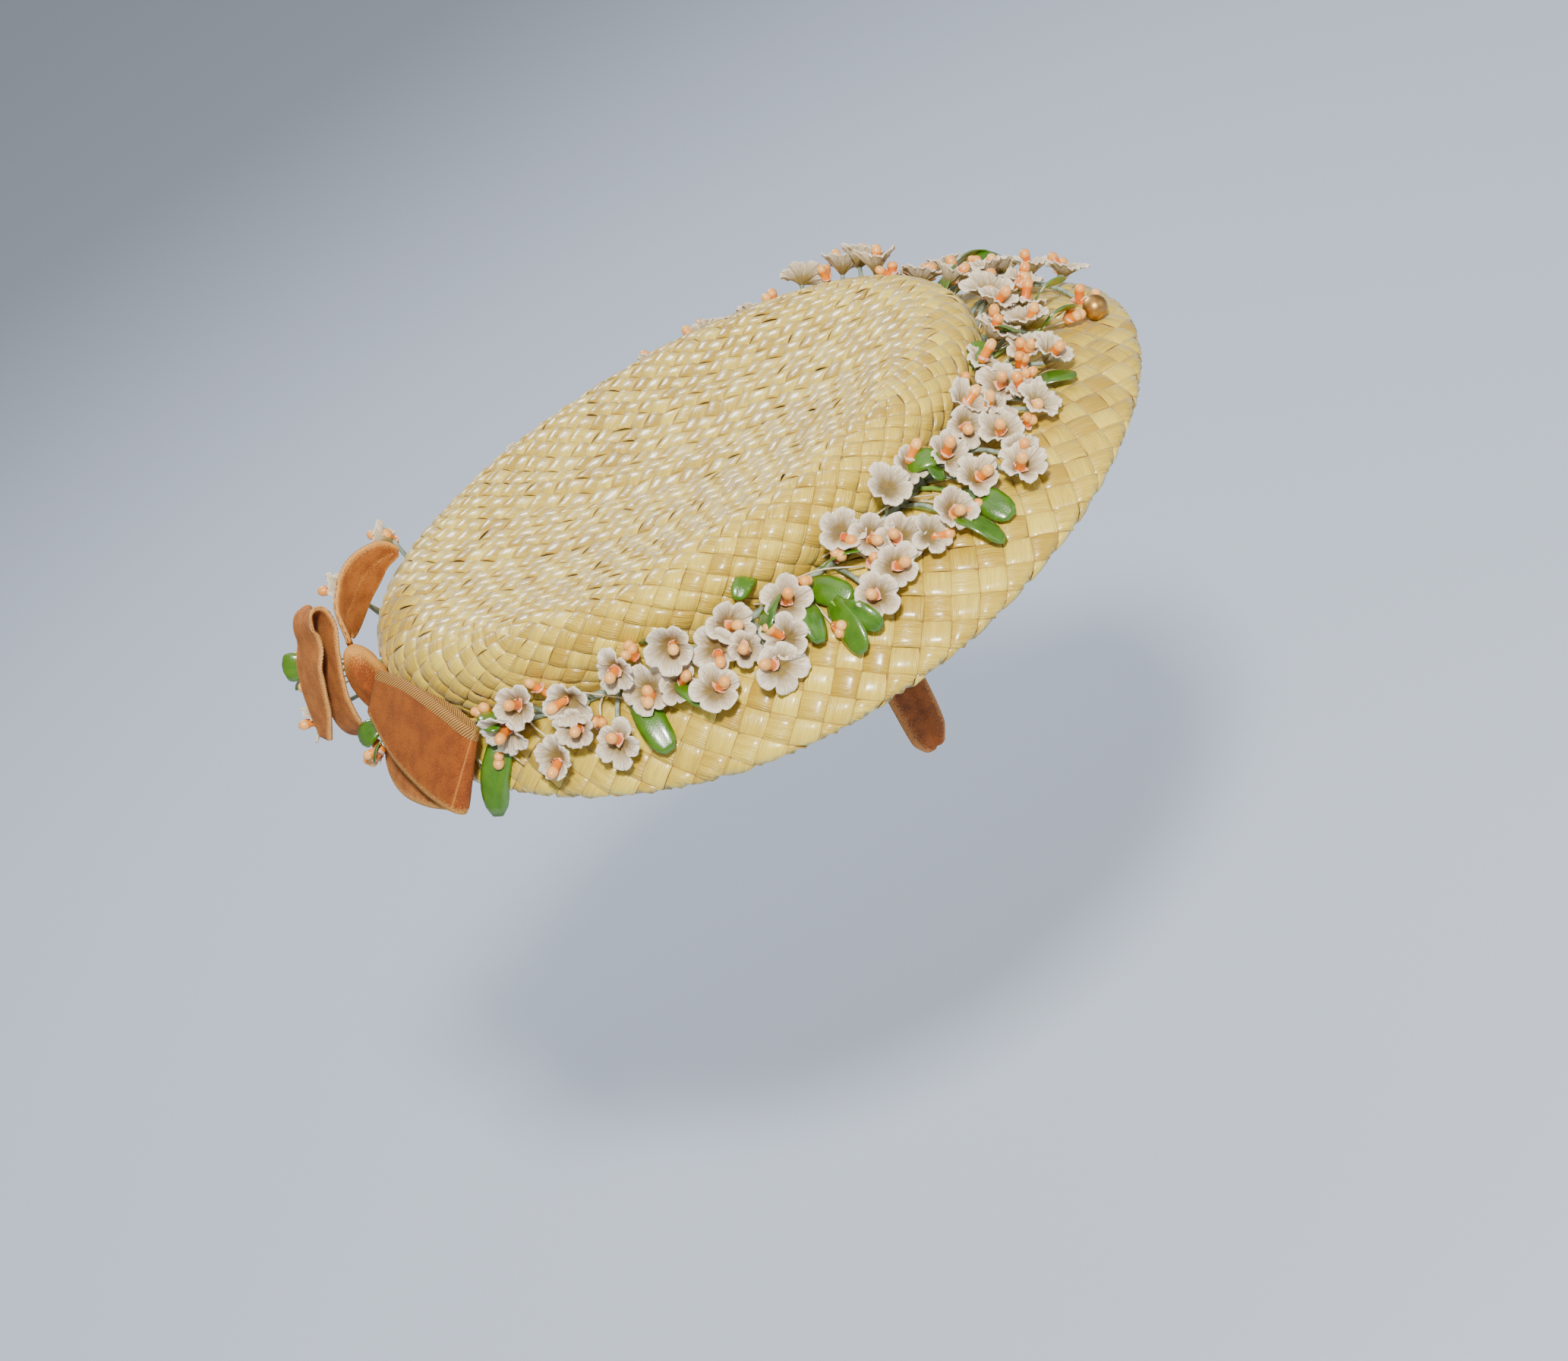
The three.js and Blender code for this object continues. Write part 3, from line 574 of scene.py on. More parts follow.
# Painted shade: the inner layer is dark so that the gaps of the plait read as shadowed holes
core_shade_finish, tree, shader = new_material("inner layer painted as shade", Roughness=0.7)
grain = put(tree, "ShaderNodeTexNoise", {"Scale": 900.0, "Detail": 2.0})
feed(tree, shader, Base_Color=mix(tree, grain.outputs["Fac"], *(colour(c) for c in CORE_SHADE_COLOURS)))
core_turns = np.linspace(-math.pi, math.pi, CORE_SIDES + 1)[:-1]
core_shares = np.linspace(0.01, 0.985, CORE_STEPS)
core_rings = []
for depth, shares in ((CORE_UPPER, core_shares), (CORE_LOWER, core_shares[::-1])):
    for share in shares:
        place = disc(core_turns, over_turns(edge_lengths, core_turns) * share)
        core_rings.append(on_straw(place, crown_waves(place) + depth))
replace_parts(add_piece("straw_inner_layer", *loft(core_rings), core_shade_finish, "straw"), "straw_body")

# Garland stems
# A wire wound with grey-green paper tape lies in the crease from the right rear round the front to the left
# rear. A second one leaves it at the left front and crosses the front brim. Thin straw threads tie them.
STEM_DIAMETER = 2.4
SEAT_GAP = 0.3
STEM_END_TURN = 166
STEM_OUT = 1.7 * STEM_DIAMETER
STEM_LIFT = STEM_DIAMETER / 2 + SEAT_GAP
# The spray: turn in degrees, out in shares of the brim's width, lift in shares of the stem's diameter
SPRAY_ROWS = [(30, 0.15, 0.85), (24, 0.38, 2), (17, 0.6, 2), (8, 0.72, 1.1), (1, 0.77, 0.7)]
STEM_STEPS = 420
SPRAY_TAPER = 0.45
TAPE_PITCH = 3.4
TAPE_SIDES = 12
TAPE_COLOURS = ((0.12, 0.17, 0.11), (0.34, 0.42, 0.33))


def polar(turn, reach, z):
    return np.array([reach * math.cos(turn), reach * math.sin(turn), z])


def on_brim(turn, out, lift):
    """The point out from the crease on the brim, lifted off it, and the way that the brim faces there."""
    line = section(np.array([turn]))[(len(CROWN_ROWS) - 1) * SPAN_STEPS:, 0]
    reach = float(crease_reach(turn)) + out
    k = int(np.clip(np.searchsorted(line[:, 0], reach) - 1, 0, len(line) - 2))
    share = (reach - line[k, 0]) / (line[k + 1, 0] - line[k, 0])
    r, z = line[k] + share * (line[k + 1] - line[k])
    way = unit(line[k + 1] - line[k])
    facing = polar(turn, -way[1], way[0])
    return polar(turn, r, z) + facing * lift, facing


def tube(path, up, radii, sides):
    """The rings of a tube along points. Its radius is given for each ring, or for each point of each."""
    path = np.asarray(path, float)
    way = unit(np.gradient(path, axis=0))
    side = unit(np.cross(way, up))
    top = np.cross(side, way)
    turn = np.arange(sides) / sides * 2 * math.pi
    radii = np.broadcast_to(np.asarray(radii, float).reshape(len(path), -1), (len(path), sides))
    spoke = np.cos(turn)[:, None] * side[:, None] + np.sin(turn)[:, None] * top[:, None]
    return list(path[:, None] + radii[..., None] * spoke)


def taped(path, radii):
    """The body of a wire along points, with the steps of the paper tape that is wound about it."""
    path = np.asarray(path, float)
    length = np.concatenate([[0], np.cumsum(np.linalg.norm(np.diff(path, axis=0), axis=1))])
    winding = (length[:, None] / TAPE_PITCH + np.arange(TAPE_SIDES) / TAPE_SIDES) % 1
    return loft(tube(path, (0, 0, 1), radii[:, None] * (0.95 + 0.1 * winding), TAPE_SIDES))


def join(bodies):
    """Several bodies' points, faces and values in one. Each is (points, faces) or (points, faces, values)."""
    points, faces, values, start = [], [], {}, 0
    for made in bodies:
        points.append(made[0])
        faces += [[i + start for i in f] for f in made[1]]
        for key, value in (made[2] if len(made) > 2 else {}).items():
            values.setdefault(key, []).append(np.broadcast_to(value, len(made[0])))
        start += len(made[0])
    return np.concatenate(points), faces, {key: np.concatenate(value) for key, value in values.items()}


mottle, given, result = new_group(
    "mottle", {"Scale": "Float", "Low": "Color", "High": "Color"},
    {"Color": "Color", "Height": "Float", "Fine": "Float"})
where = put(mottle, "ShaderNodeTexCoord").outputs["Object"]
blotch = put(mottle, "ShaderNodeTexNoise", {"Vector": where, "Scale": given["Scale"], "Detail": 4.0})
dense = calculate(mottle, "MULTIPLY", given["Scale"], 7.0)
crumbs = put(mottle, "ShaderNodeTexNoise", {"Vector": where, "Scale": dense, "Detail": 2.0})
depth = stretch(mottle, blotch.outputs["Fac"], 0.3, 0.7)
mottle.links.new(mix(mottle, depth, given["Low"], given["High"]), result["Color"])
mottle.links.new(depth, result["Height"])
mottle.links.new(crumbs.outputs["Fac"], result["Fine"])


def mottled(tree, scale, low, high):
    """Two colours mottled over a surface, with a height for the blotches and one for their fine grain."""
    return place_group(tree, mottle, {"Scale": scale, "Low": colour(low), "High": colour(high)}).outputs


def stem_point(turn):
    return on_brim(turn, STEM_OUT, STEM_LIFT)[0]


def spray_out(row):
    turn = math.radians(row[0])
    return row[1] * float(brim_reach(turn) - crease_reach(turn))


tape_finish, tree, shader = new_material("paper tape", Roughness=0.62)
tape = mottled(tree, 420.0, *TAPE_COLOURS)
feed(tree, shader, Base_Color=tape["Color"])
bumped(tree, shader, tape["Fine"], 0.0001)

stem_turns = np.radians(np.linspace(-STEM_END_TURN, STEM_END_TURN, STEM_STEPS))
stem_path = [stem_point(t) for t in stem_turns]
stem_body = taped(stem_path, np.full(STEM_STEPS, STEM_DIAMETER / 2))
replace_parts(add_piece("taped_stem", *stem_body, tape_finish, "garland_stem"), "garland_stem")
spray_knots = [on_brim(math.radians(row[0]), spray_out(row), row[2] * STEM_DIAMETER)[0] for row in SPRAY_ROWS]
spray_path = spline(spray_knots, 16)
spray_radii = STEM_DIAMETER / 2 * (1 - SPRAY_TAPER * np.linspace(0, 1, len(spray_path)))
spray_body = taped(spray_path, spray_radii)
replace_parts(add_piece("taped_spray_stem", *spray_body, tape_finish, "garland_stem"), "spray_stem")

# Flowers
# Each is a small cup of off-white velvet pressed into five or six petals, with a throat the colour of dry
# straw. It is threaded on a stalk that grows from a stem, and holds a moulded orange stamen with a pale tip.
STALK_DIAMETER = 1.4
BLOSSOM_DIAMETER = 12
BLOSSOM_DEPTH = 5
STAMEN_LENGTH = 7
STAMEN_DIAMETER = 3.2
STAMEN_SIDES = 12
COLLAR_HEIGHT = 3.4
COLLAR_SIDES = 10
PETAL_THICKNESS = 0.4
PETAL_AROUND = 80
# How far a flower strays from its lean, and a stamen from its flower
FLOWER_TILT = 0.16
STAMEN_TILT = 0.32
STALK_ARCH = 0.12
# Turn in degrees, out from the crease and lift over the brim in shares of a flower's diameter, and lean
BLOSSOM_ROWS = [
    (-137, 0.67, 0.75, 60), (-129, 1.25, 0.5, 40), (-123, 0.67, 1.08, 70), (-118, 1.42, 0.5, 35),
    (-111, 0.92, 0.5, 30), (-104, 0.67, 1.17, 65), (-101, 1.5, 0.5, 40), (-95, 0.67, 0.67, 50),
    (-91, 1.75, 0.5, 35), (-85, 0.92, 0.58, 40), (-74, 1.92, 0.5, 40), (-71, 0.67, 1.0, 65),
    (-65, 1.42, 0.5, 30), (-60, 0.67, 1.0, 60), (-57, 1.83, 0.5, 40), (-46, 2.42, 0.5, 45),
    (-48, 0.92, 0.67, 40), (-40, 1.58, 0.5, 35), (-37, 0.67, 0.92, 60), (-33, 2.0, 0.5, 40),
    (-28, 1.0, 0.58, 35), (-21, 1.92, 0.5, 30), (-16, 0.75, 1.08, 50), (-9, 1.42, 0.58, 25),
    (3, 1.0, 0.92, 40), (22, 0.75, 1.17, 55), (44, 1.0, 0.75, 35), (60, 0.67, 1.17, 45),
    (76, 1.25, 0.58, 35), (92, 0.75, 0.92, 50), (108, 1.17, 0.58, 40), (124, 0.67, 1.0, 50),
    (140, 1.0, 0.58, 40),
]
# Smaller and overlapping flowers that fill the bunches, in the same measures
FILLER_ROWS = [
    (-133, 0.5, 1.1, 75), (-124, 1.0, 0.65, 45), (-114, 0.6, 1.2, 70), (-106, 1.1, 0.5, 30),
    (-98, 0.95, 0.7, 45), (-88, 1.45, 0.45, 35), (-94, 1.2, 0.6, 55), (-68, 1.0, 0.7, 55),
    (-62, 1.8, 0.45, 40), (-69, 1.75, 0.5, 45), (-53, 0.55, 0.95, 65), (-50, 1.75, 0.5, 40),
    (-43, 2.15, 0.45, 40), (-36, 1.2, 0.65, 50), (-41, 0.9, 0.8, 60), (-30, 1.6, 0.5, 35),
    (-24, 0.6, 1.0, 60), (-18, 1.35, 0.55, 35), (-12, 0.8, 0.95, 45), (-5, 0.9, 1.1, 50),
    (-3, 1.6, 0.7, 30), (8, 1.35, 0.75, 30), (12, 0.7, 1.2, 55), (17, 1.25, 0.9, 45), (28, 0.8, 1.2, 50),
    (34, 1.1, 0.9, 40), (52, 1.2, 0.65, 35), (66, 0.7, 1.0, 50), (84, 1.0, 0.75, 45),
    (99, 0.8, 0.9, 55), (116, 0.85, 0.85, 50), (131, 0.9, 0.7, 45), (147, 0.75, 0.6, 45), (154, 0.9, 0.5, 40),
    (145, 0.25, 2.2, 60), (159, 0.3, 2.5, 60), (172, 1.1, 2.1, 60), (47, 0.55, 1.8, 60), (40, 0.8, 1.7, 40),
    (35, 0.75, 1.8, 60), (28, 0.45, 1.8, 30), (69, 0.45, 1.45, 60), (64, 1.5, 0.5, 35), (73, 0.85, 0.8, 45),
    (80, 0.6, 1.3, 60), (89, 1.75, 0.5, 35), (96, 1.5, 0.5, 40), (104, 1.85, 0.5, 35), (104, 0.6, 1.3, 60),
    (112, 0.6, 1.2, 60), (119, 1.55, 0.5, 40), (127, 1.35, 0.55, 40), (136, 0.6, 1.15, 60),
]
# The spray's flowers: the row of its stem that the stalk leaves, turn added to it, and the rest as above
SPRAY_BLOSSOM_ROWS = [
    (2, 4, 0.42, 0.5, 20), (3, 1, -0.75, 0.55, 10), (3, 3, 0.6, 0.5, 35),
    (1, 3, 0.5, 0.8, 30), (2, -3, -0.6, 0.9, 15), (2, 1, 0.9, 0.5, 40),
]
# How large the flowers of both lists are, from and to, in shares of a flower's diameter
BLOSSOM_SIZES = (1.06, 1.2)
FILLER_SIZES = (0.85, 1.08)
SPRAY_BLOSSOM_SIZE = 1.05
# The rings of a petal's upper face and of its lower face, in shares of the way from the throat to the rim
PETAL_UPPER = (0.06, 0.25, 0.45, 0.63, 0.79, 0.91, 0.98)
PETAL_LOWER = (0.97, 0.8, 0.5, 0.25)
# A stamen's rings: along in shares of its length, out in shares of its radius
STAMEN_ROWS = [
    (0, 0.45), (0.05, 0.8), (0.3, 0.9), (0.52, 0.86), (0.6, 0.98), (0.72, 1.06), (0.84, 0.98), (0.93, 0.72),
    (0.98, 0.4),
]
PETAL_GRAIN = ((0.8, 0.57, 0.29), (0.98, 0.8, 0.5))
PETAL_PALE = (1, 0.95, 0.84)
PETAL_THROAT = (0.36, 0.235, 0.045)
STAMEN_SHAFTS = ((0.74, 0.14, 0.0), (0.86, 0.26, 0.0))
STAMEN_TIPS = ((0.88, 0.34, 0.05), (0.96, 0.5, 0.14))
STAMEN_CLOUD = ((0.88, 0.86, 0.84), (1, 1, 1))
COLLAR_PINK = (0.96, 0.52, 0.33)
flower_random = np.random.default_rng(23)


def facing_of(turn, lean, up):
    lean = math.radians(lean)
    return unit(up * math.cos(lean) + polar(turn, 1, 0) * math.sin(lean))


def frame_about(axis):
    across = unit(np.cross(np.cross((axis[1], -axis[0], 0.2), axis), axis))
    return across, np.cross(axis, across)


def spun(base, axis, heights, reaches, sides):
    """Rings about an axis, at heights along it. A reach is one value, or one for each side."""
    across, other = frame_about(axis)
    turn = np.arange(sides) / sides * 2 * math.pi
    spokes = np.cos(turn)[:, None] * across + np.sin(turn)[:, None] * other
    rings = []
    for height, reach in zip(heights, reaches):
        height = np.broadcast_to(height, sides)
        reach = np.broadcast_to(reach, sides)
        rings.append(base + height[:, None] * axis + reach[:, None] * spokes)
    return rings


def petals(base, axis, size):
    """A cup of petals: its upper face from the throat to the rim, and its lower face back to the stalk."""
    count = int(flower_random.choice([5, 5, 5, 6]))
    turn = np.arange(PETAL_AROUND) / PETAL_AROUND
    lobe = (turn * count + flower_random.uniform()) % count
    which = lobe.astype(int)
    x = 2 * (lobe - which) - 1
    grown = flower_random.normal(1.04, 0.09, count)[which]
    bend = flower_random.normal(0.3, 1.1, count)[which] * (1 - x ** 2)
    ruffle = flower_random.uniform(0, 6.3, count)[which]
    waves = 0.4 * np.sin(7 * x + ruffle) + 0.3 * np.sin(15 * x + 2 * ruffle)
    rim = size / 2 * (1 + (grown - 1) * (1 - x ** 2)) * (1.05 - 0.24 * np.abs(x) ** 4.5)
    depth = BLOSSOM_DEPTH * size / BLOSSOM_DIAMETER * flower_random.uniform(0.8, 1.35)
    heights, reaches, shares = [], [], []

    def face(share, drop):
        cup = depth * (0.24 + 0.86 * share ** 1.15) + 0.3 * share ** 2 * x ** 2
        heights.append(cup + bend * share ** 2 + waves * share ** 3 - 1.5 * share ** 6 - drop)
        reaches.append(0.5 + (rim - 0.5) * share)
        shares.append(np.broadcast_to(share, PETAL_AROUND))

    for share in PETAL_UPPER:
        face(share, 0)
    face(1.0, PETAL_THICKNESS / 2)
    for share in PETAL_LOWER:
        face(share, PETAL_THICKNESS * (1 + 1.5 * (1 - share)))
    heights.append(np.zeros(PETAL_AROUND))
    reaches.append(np.full(PETAL_AROUND, STALK_DIAMETER / 2))
    shares.append(np.zeros(PETAL_AROUND))
    points, faces = loft(spun(base, axis, heights, reaches, PETAL_AROUND))
    share = np.concatenate([*shares, [0, 0]])
    angle = np.concatenate([np.tile(turn, len(shares)), [0, 0]])
    return points, faces, {"share": share, "angle": angle * 60, "tone": flower_random.uniform()}


def capsule(base, axis, start, end, radius):
    """A moulded stamen or bud: a slightly waisted shaft with a round tip. Its tint is 0 below and 1 above."""
    shares, reaches = np.array(STAMEN_ROWS).T
    points, faces = loft(spun(base, axis, start + (end - start) * shares, radius * reaches, STAMEN_SIDES))
    tint = np.concatenate([np.repeat(shares, STAMEN_SIDES), [0, 1]])
    return points, faces, {"tint": tint, "hue": flower_random.uniform()}


def collar(base, axis, height, radius):
    """A ragged pale-pink collar about a stamen's foot. Its tint of 2 sets it apart from the stamens."""
    ragged = flower_random.uniform(0.7, 1.35, COLLAR_SIDES)
    lift = flower_random.uniform(-0.5, 0.9, COLLAR_SIDES)
    heights = [height - 1.2, height + lift, height + lift - 0.3, height - 1.0]
    reaches = [radius * 0.8, radius * 1.3 * ragged, radius * 1.1 * ragged, radius * 0.5]
    points, faces = loft(spun(base, axis, heights, reaches, COLLAR_SIDES))
    return points, faces, {"tint": 2.0, "hue": flower_random.uniform()}


def stalk(knots, steps, up, radius, sides):
    """A plain round stalk or thread along a curve through a few points."""
    path = spline(knots, steps)
    return loft(tube(path, up, np.full(len(path), radius), sides))


def tilted(axis, amount):
    return unit(axis + flower_random.normal(0, amount, 3))


cups, fillers, stamens, stalks = [], [], [], []


def add_flower(turn, out, lift, lean, stem, size, cup_list):
    middle, up = on_brim(turn, out, lift)
    axis = tilted(facing_of(turn, lean, up), FLOWER_TILT)
    base = middle - axis * BLOSSOM_DEPTH / 2
    root = stem + unit(middle - stem) * (STEM_DIAMETER / 2 - 0.4)
    knee = (root + base) / 2 + up * np.linalg.norm(base - root) * STALK_ARCH
    stalks.append(stalk([root, knee, base], 6, axis + (0.01, 0.02, 0.03), STALK_DIAMETER / 2, 8))
    cup_list.append(petals(base, axis, size))
    shaft = tilted(axis, STAMEN_TILT)
    reach = flower_random.uniform(1.0, 1.3)
    stamens.append(capsule(base, shaft, 1.5, STAMEN_LENGTH * reach + 1, STAMEN_DIAMETER / 2))
    stamens.append(collar(base, shaft, COLLAR_HEIGHT, STAMEN_DIAMETER / 2))


for rows, sizes, cup_list in ((BLOSSOM_ROWS, BLOSSOM_SIZES, cups), (FILLER_ROWS, FILLER_SIZES, fillers)):
    for turn, out, lift, lean in rows:
        turn = math.radians(turn)
        place = (out * BLOSSOM_DIAMETER, lift * BLOSSOM_DIAMETER, lean, stem_point(turn))
        add_flower(turn, *place, BLOSSOM_DIAMETER * flower_random.uniform(*sizes), cup_list)
for root_row, turn, out, lift, lean in SPRAY_BLOSSOM_ROWS:
    row = SPRAY_ROWS[root_row]
    place = (spray_out(row) + out * BLOSSOM_DIAMETER, lift * BLOSSOM_DIAMETER, lean, spray_knots[root_row])
    add_flower(math.radians(row[0] + turn), *place, BLOSSOM_DIAMETER * SPRAY_BLOSSOM_SIZE, cups)

petal_finish, tree, shader = new_material(
    "petal velvet", Roughness=0.75, Sheen_Weight=0.15, Sheen_Roughness=0.35)
share = point_value(tree, "share")
along = calculate(tree, "MULTIPLY", share, 1.3)
ray = put(tree, "ShaderNodeCombineXYZ", {0: point_value(tree, "angle"), 1: along}).outputs[0]
pleats = put(tree, "ShaderNodeTexNoise", {"Vector": ray, "Scale": 2.6, "Detail": 3.0}).outputs["Fac"]
pleat = stretch(tree, pleats, 0.35, 0.65)
grain = mottled(tree, 900.0, *PETAL_GRAIN)
past_throat = stretch(tree, calculate(tree, "ADD", share, calculate(tree, "MULTIPLY", pleat, 0.2)), 0.4, 0.98)
outer = mix(tree, pleat, grain["Color"], colour(PETAL_PALE))
shade = mix(tree, past_throat, colour(PETAL_THROAT), outer)
feed(tree, shader, Base_Color=shade, Roughness=stretch(tree, pleat, 0.0, 1.0, 0.8, 0.36))
bumped(tree, shader, calculate(tree, "ADD", pleat, grain["Fine"]), 0.0002)

bead_finish, tree, shader = new_material(
    "moulded stamens", Roughness=0.38, Coat_Weight=0.3, Coat_Roughness=0.2,
    Subsurface_Weight=0.05, Subsurface_Radius=(1.0, 0.4, 0.25), Subsurface_Scale=0.0008)
tint, hue = point_value(tree, "tint"), point_value(tree, "hue")
shaft, tip = (mix(tree, hue, colour(low), colour(high)) for low, high in (STAMEN_SHAFTS, STAMEN_TIPS))
dipped = mix(tree, stretch(tree, tint, 0.6, 0.68), shaft, tip)
pink = mix(tree, stretch(tree, tint, 1.4, 1.6), dipped, colour(COLLAR_PINK))
cloud = mottled(tree, 500.0, *STAMEN_CLOUD)
veiled = put(
    tree, "ShaderNodeMix", {0: 1.0, 6: pink, 7: cloud["Color"]}, data_type="RGBA", blend_type="MULTIPLY")
feed(tree, shader, Base_Color=veiled.outputs[2])
bumped(tree, shader, cloud["Fine"], 0.00006)


def numbered(name, count):
    return [f"{name}_{i + 1:02d}" for i in range(count)]


def add_joined(name, bodies, finish, slot):
    """One piece of several bodies."""
    points, faces, values = join(bodies)
    return add_piece(name, points, faces, finish, slot, values)


flower_nodes = numbered("blossom", len(BLOSSOM_ROWS)) + numbered("spray_blossom", 3)
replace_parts(add_joined("velvet_flowers", cups, petal_finish, "petal"), *flower_nodes)
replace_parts(add_joined("velvet_flowers_small", fillers, petal_finish, "petal"), *flower_nodes)

# Buds
# Between the flowers stand bunches of two or three closed buds, moulded like the stamens, on thin stalks.
# A few dry straw threads lie among them.
BUD_LENGTH = 6.5
BUD_RADII = (1.35, 1.65)
BUD_TILT = 0.38
BUD_STALK_DIAMETER = 0.7
BUD_COLLAR_HEIGHT = 1.8
BUD_COLLAR_RADIUS = 1.6
THREAD_DIAMETER = 0.6
THREAD_COLOURS = ((0.5, 0.4, 0.2), (0.85, 0.74, 0.5))
# Turn in degrees, out from the crease and lift in millimetres, and how many buds the bunch has
BUD_ROWS = [
    (-143, 4, 9, 3), (-139, 8, 5, 2), (-142, 12, 4, 2), (-131, 3, 12, 2), (-112, 4, 11, 3), (-111, 14, 5, 2),
    (-121, 12.5, 6, 2), (-81, 9, 8, 3), (-81, 22, 4, 3), (-73, 10, 9, 2), (-70, 16, 6, 2), (-55, 25, 5, 3),
    (-8, 30, 5, 3), (-18, 16, 8, 2), (-23, 17, 8, 2), (-27, 19, 7, 2), (-28, 5, 14, 2), (-99, 18, 5, 2),
    (-36, 24, 5, 2), (6, 24, 9, 3), (15, 14, 13, 2), (26, 16, 12, 3), (38, 11, 12, 2), (48, 15, 9, 3),
    (57, 10, 12, 2), (71, 14, 8, 2), (81, 9, 11, 3), (95, 17, 6, 2), (104, 9, 10, 2), (113, 16, 6, 3),
    (128, 10, 9, 2), (137, 14, 5, 2), (150, 8, 6, 3), (161, 7, 5, 2), (-151, 7, 6, 3), (-158, 6, 6, 2),
    (144, 3, 26, 2), (156, 5, 27, 3), (168, 11, 26, 3), (72, 5, 19, 2), (53, 5, 20, 3), (43, 8, 21, 2),
    (24, 5, 21, 2),
]
# The last buds of the spray, whose tips reach the hat pin: row of its stem, turn added, out and lift
SPRAY_BUD_ROWS = [(4, 0, 1, 3, 3), (4, -2, 5, 3, 2), (3, 5, 9, 5, 2), (1, -4, 8, 10, 2)]
# The last buds at the stem's two ends, behind the bow: side, place in millimetres and count
TAIL_BUD_ROWS = [
    (1, (-130, 12, 1), 2), (1, (-127, 20, 7), 1), (-1, (-122, -13, -21), 3), (-1, (-120, -20, -17), 2),
]
TAIL_BUD_WAY = np.array((-0.9, 0, 0.1))

straws = []


def add_buds(middle, up, count, stem):
    way = unit(unit(middle - stem) + 0.5 * up)
    foot = middle - way * BUD_LENGTH * 0.5
    knots = [stem + unit(foot - stem), (stem + foot) / 2 + up * 1.2, foot]
    straws.append(stalk(knots, 5, up + (0.01, 0.02, 0), BUD_STALK_DIAMETER / 2, 6))
    for _ in range(count):
        axis = tilted(way, BUD_TILT)
        radius = flower_random.uniform(*BUD_RADII)
        stamens.append(capsule(foot, axis, 0, BUD_LENGTH * flower_random.uniform(0.8, 1.1), radius))
    stamens.append(collar(foot, tilted(way, 0.2), BUD_COLLAR_HEIGHT, BUD_COLLAR_RADIUS))


for turn, out, lift, count in BUD_ROWS:
    turn = math.radians(turn)
    add_buds(*on_brim(turn, out, lift), count, stem_point(turn))
for root_row, turn, out, lift, count in SPRAY_BUD_ROWS:
    row = SPRAY_ROWS[root_row]
    spot = on_brim(math.radians(row[0] + turn), spray_out(row) + out, lift)
    add_buds(*spot, count, spray_knots[root_row])
for side, place, count in TAIL_BUD_ROWS:
    add_buds(np.array(place), TAIL_BUD_WAY, count, stem_path[-1 if side > 0 else 0])
for turn in np.radians(np.arange(-150, 150, 9)):
    ends = turn + np.radians(flower_random.uniform([-7, 3], [-2, 8]))
    outs = flower_random.uniform([1.5, 6], [4, 17])
    spots = ((ends[0], outs[0], 4), (ends.mean(), outs.mean(), 6), (ends[1], outs[1], 2))
    knots = [on_brim(*spot)[0] for spot in spots]
    straws.append(stalk(knots, 6, (0.1, 0.1, 1), THREAD_DIAMETER / 2, 5))

thread_finish, tree, shader = new_material("straw thread", Roughness=0.6)
tone = mottled(tree, 300.0, *THREAD_COLOURS)
feed(tree, shader, Base_Color=tone["Color"])
bumped(tree, shader, tone["Fine"], 0.00008)
add_joined("straw_threads", straws, thread_finish, "garland_stem")
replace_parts(add_joined("flower_stalks", stalks, tape_finish, "garland_stem"), *flower_nodes)
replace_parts(add_joined("stamens_and_buds", stamens, bead_finish, "petal"), *flower_nodes)

# Leaves
# Strips of glossy coated green cloth, folded along the middle and cut round at the tip. They stand on the
# stem between the bunches, and the paler underside shows where one curls over.
LEAF_LENGTH = 15
LEAF_WIDTH = 8
LEAF_THICKNESS = 0.5
# Turn, out to the foot in shares of a leaf's length, and sweep from outward, in degrees
LEAF_ROWS = [
    (-140, 0.42, -25), (-114, 0.53, 20), (-81, 0.4, 30), (-79, 0.93, -10), (-52, 1.2, -5), (-26, 1.07, 15),
    (-3, 0.73, 35), (52, 0.53, 30), (84, 0.6, -25), (116, 0.53, 25), (148, 0.4, -30),
]
# Half the width that a leaf is cut to, in shares of its width when folded
LEAF_HALF = 0.56
SMALL_LEAF_HALF = 0.58
# Lift at the foot and rise to the tip in shares of the length, and the arch between them in millimetres
LEAF_LIFT = 0.16
LEAF_RISE = 0.1
LEAF_ARCH = 1.6
LEAF_FOLD = 0.12
LEAF_CURL = 0.3
SMALL_LEAF_ARCH = 2.4
SMALL_LEAF_FOLD = 0.16
SMALL_STALK_DIAMETER = 1
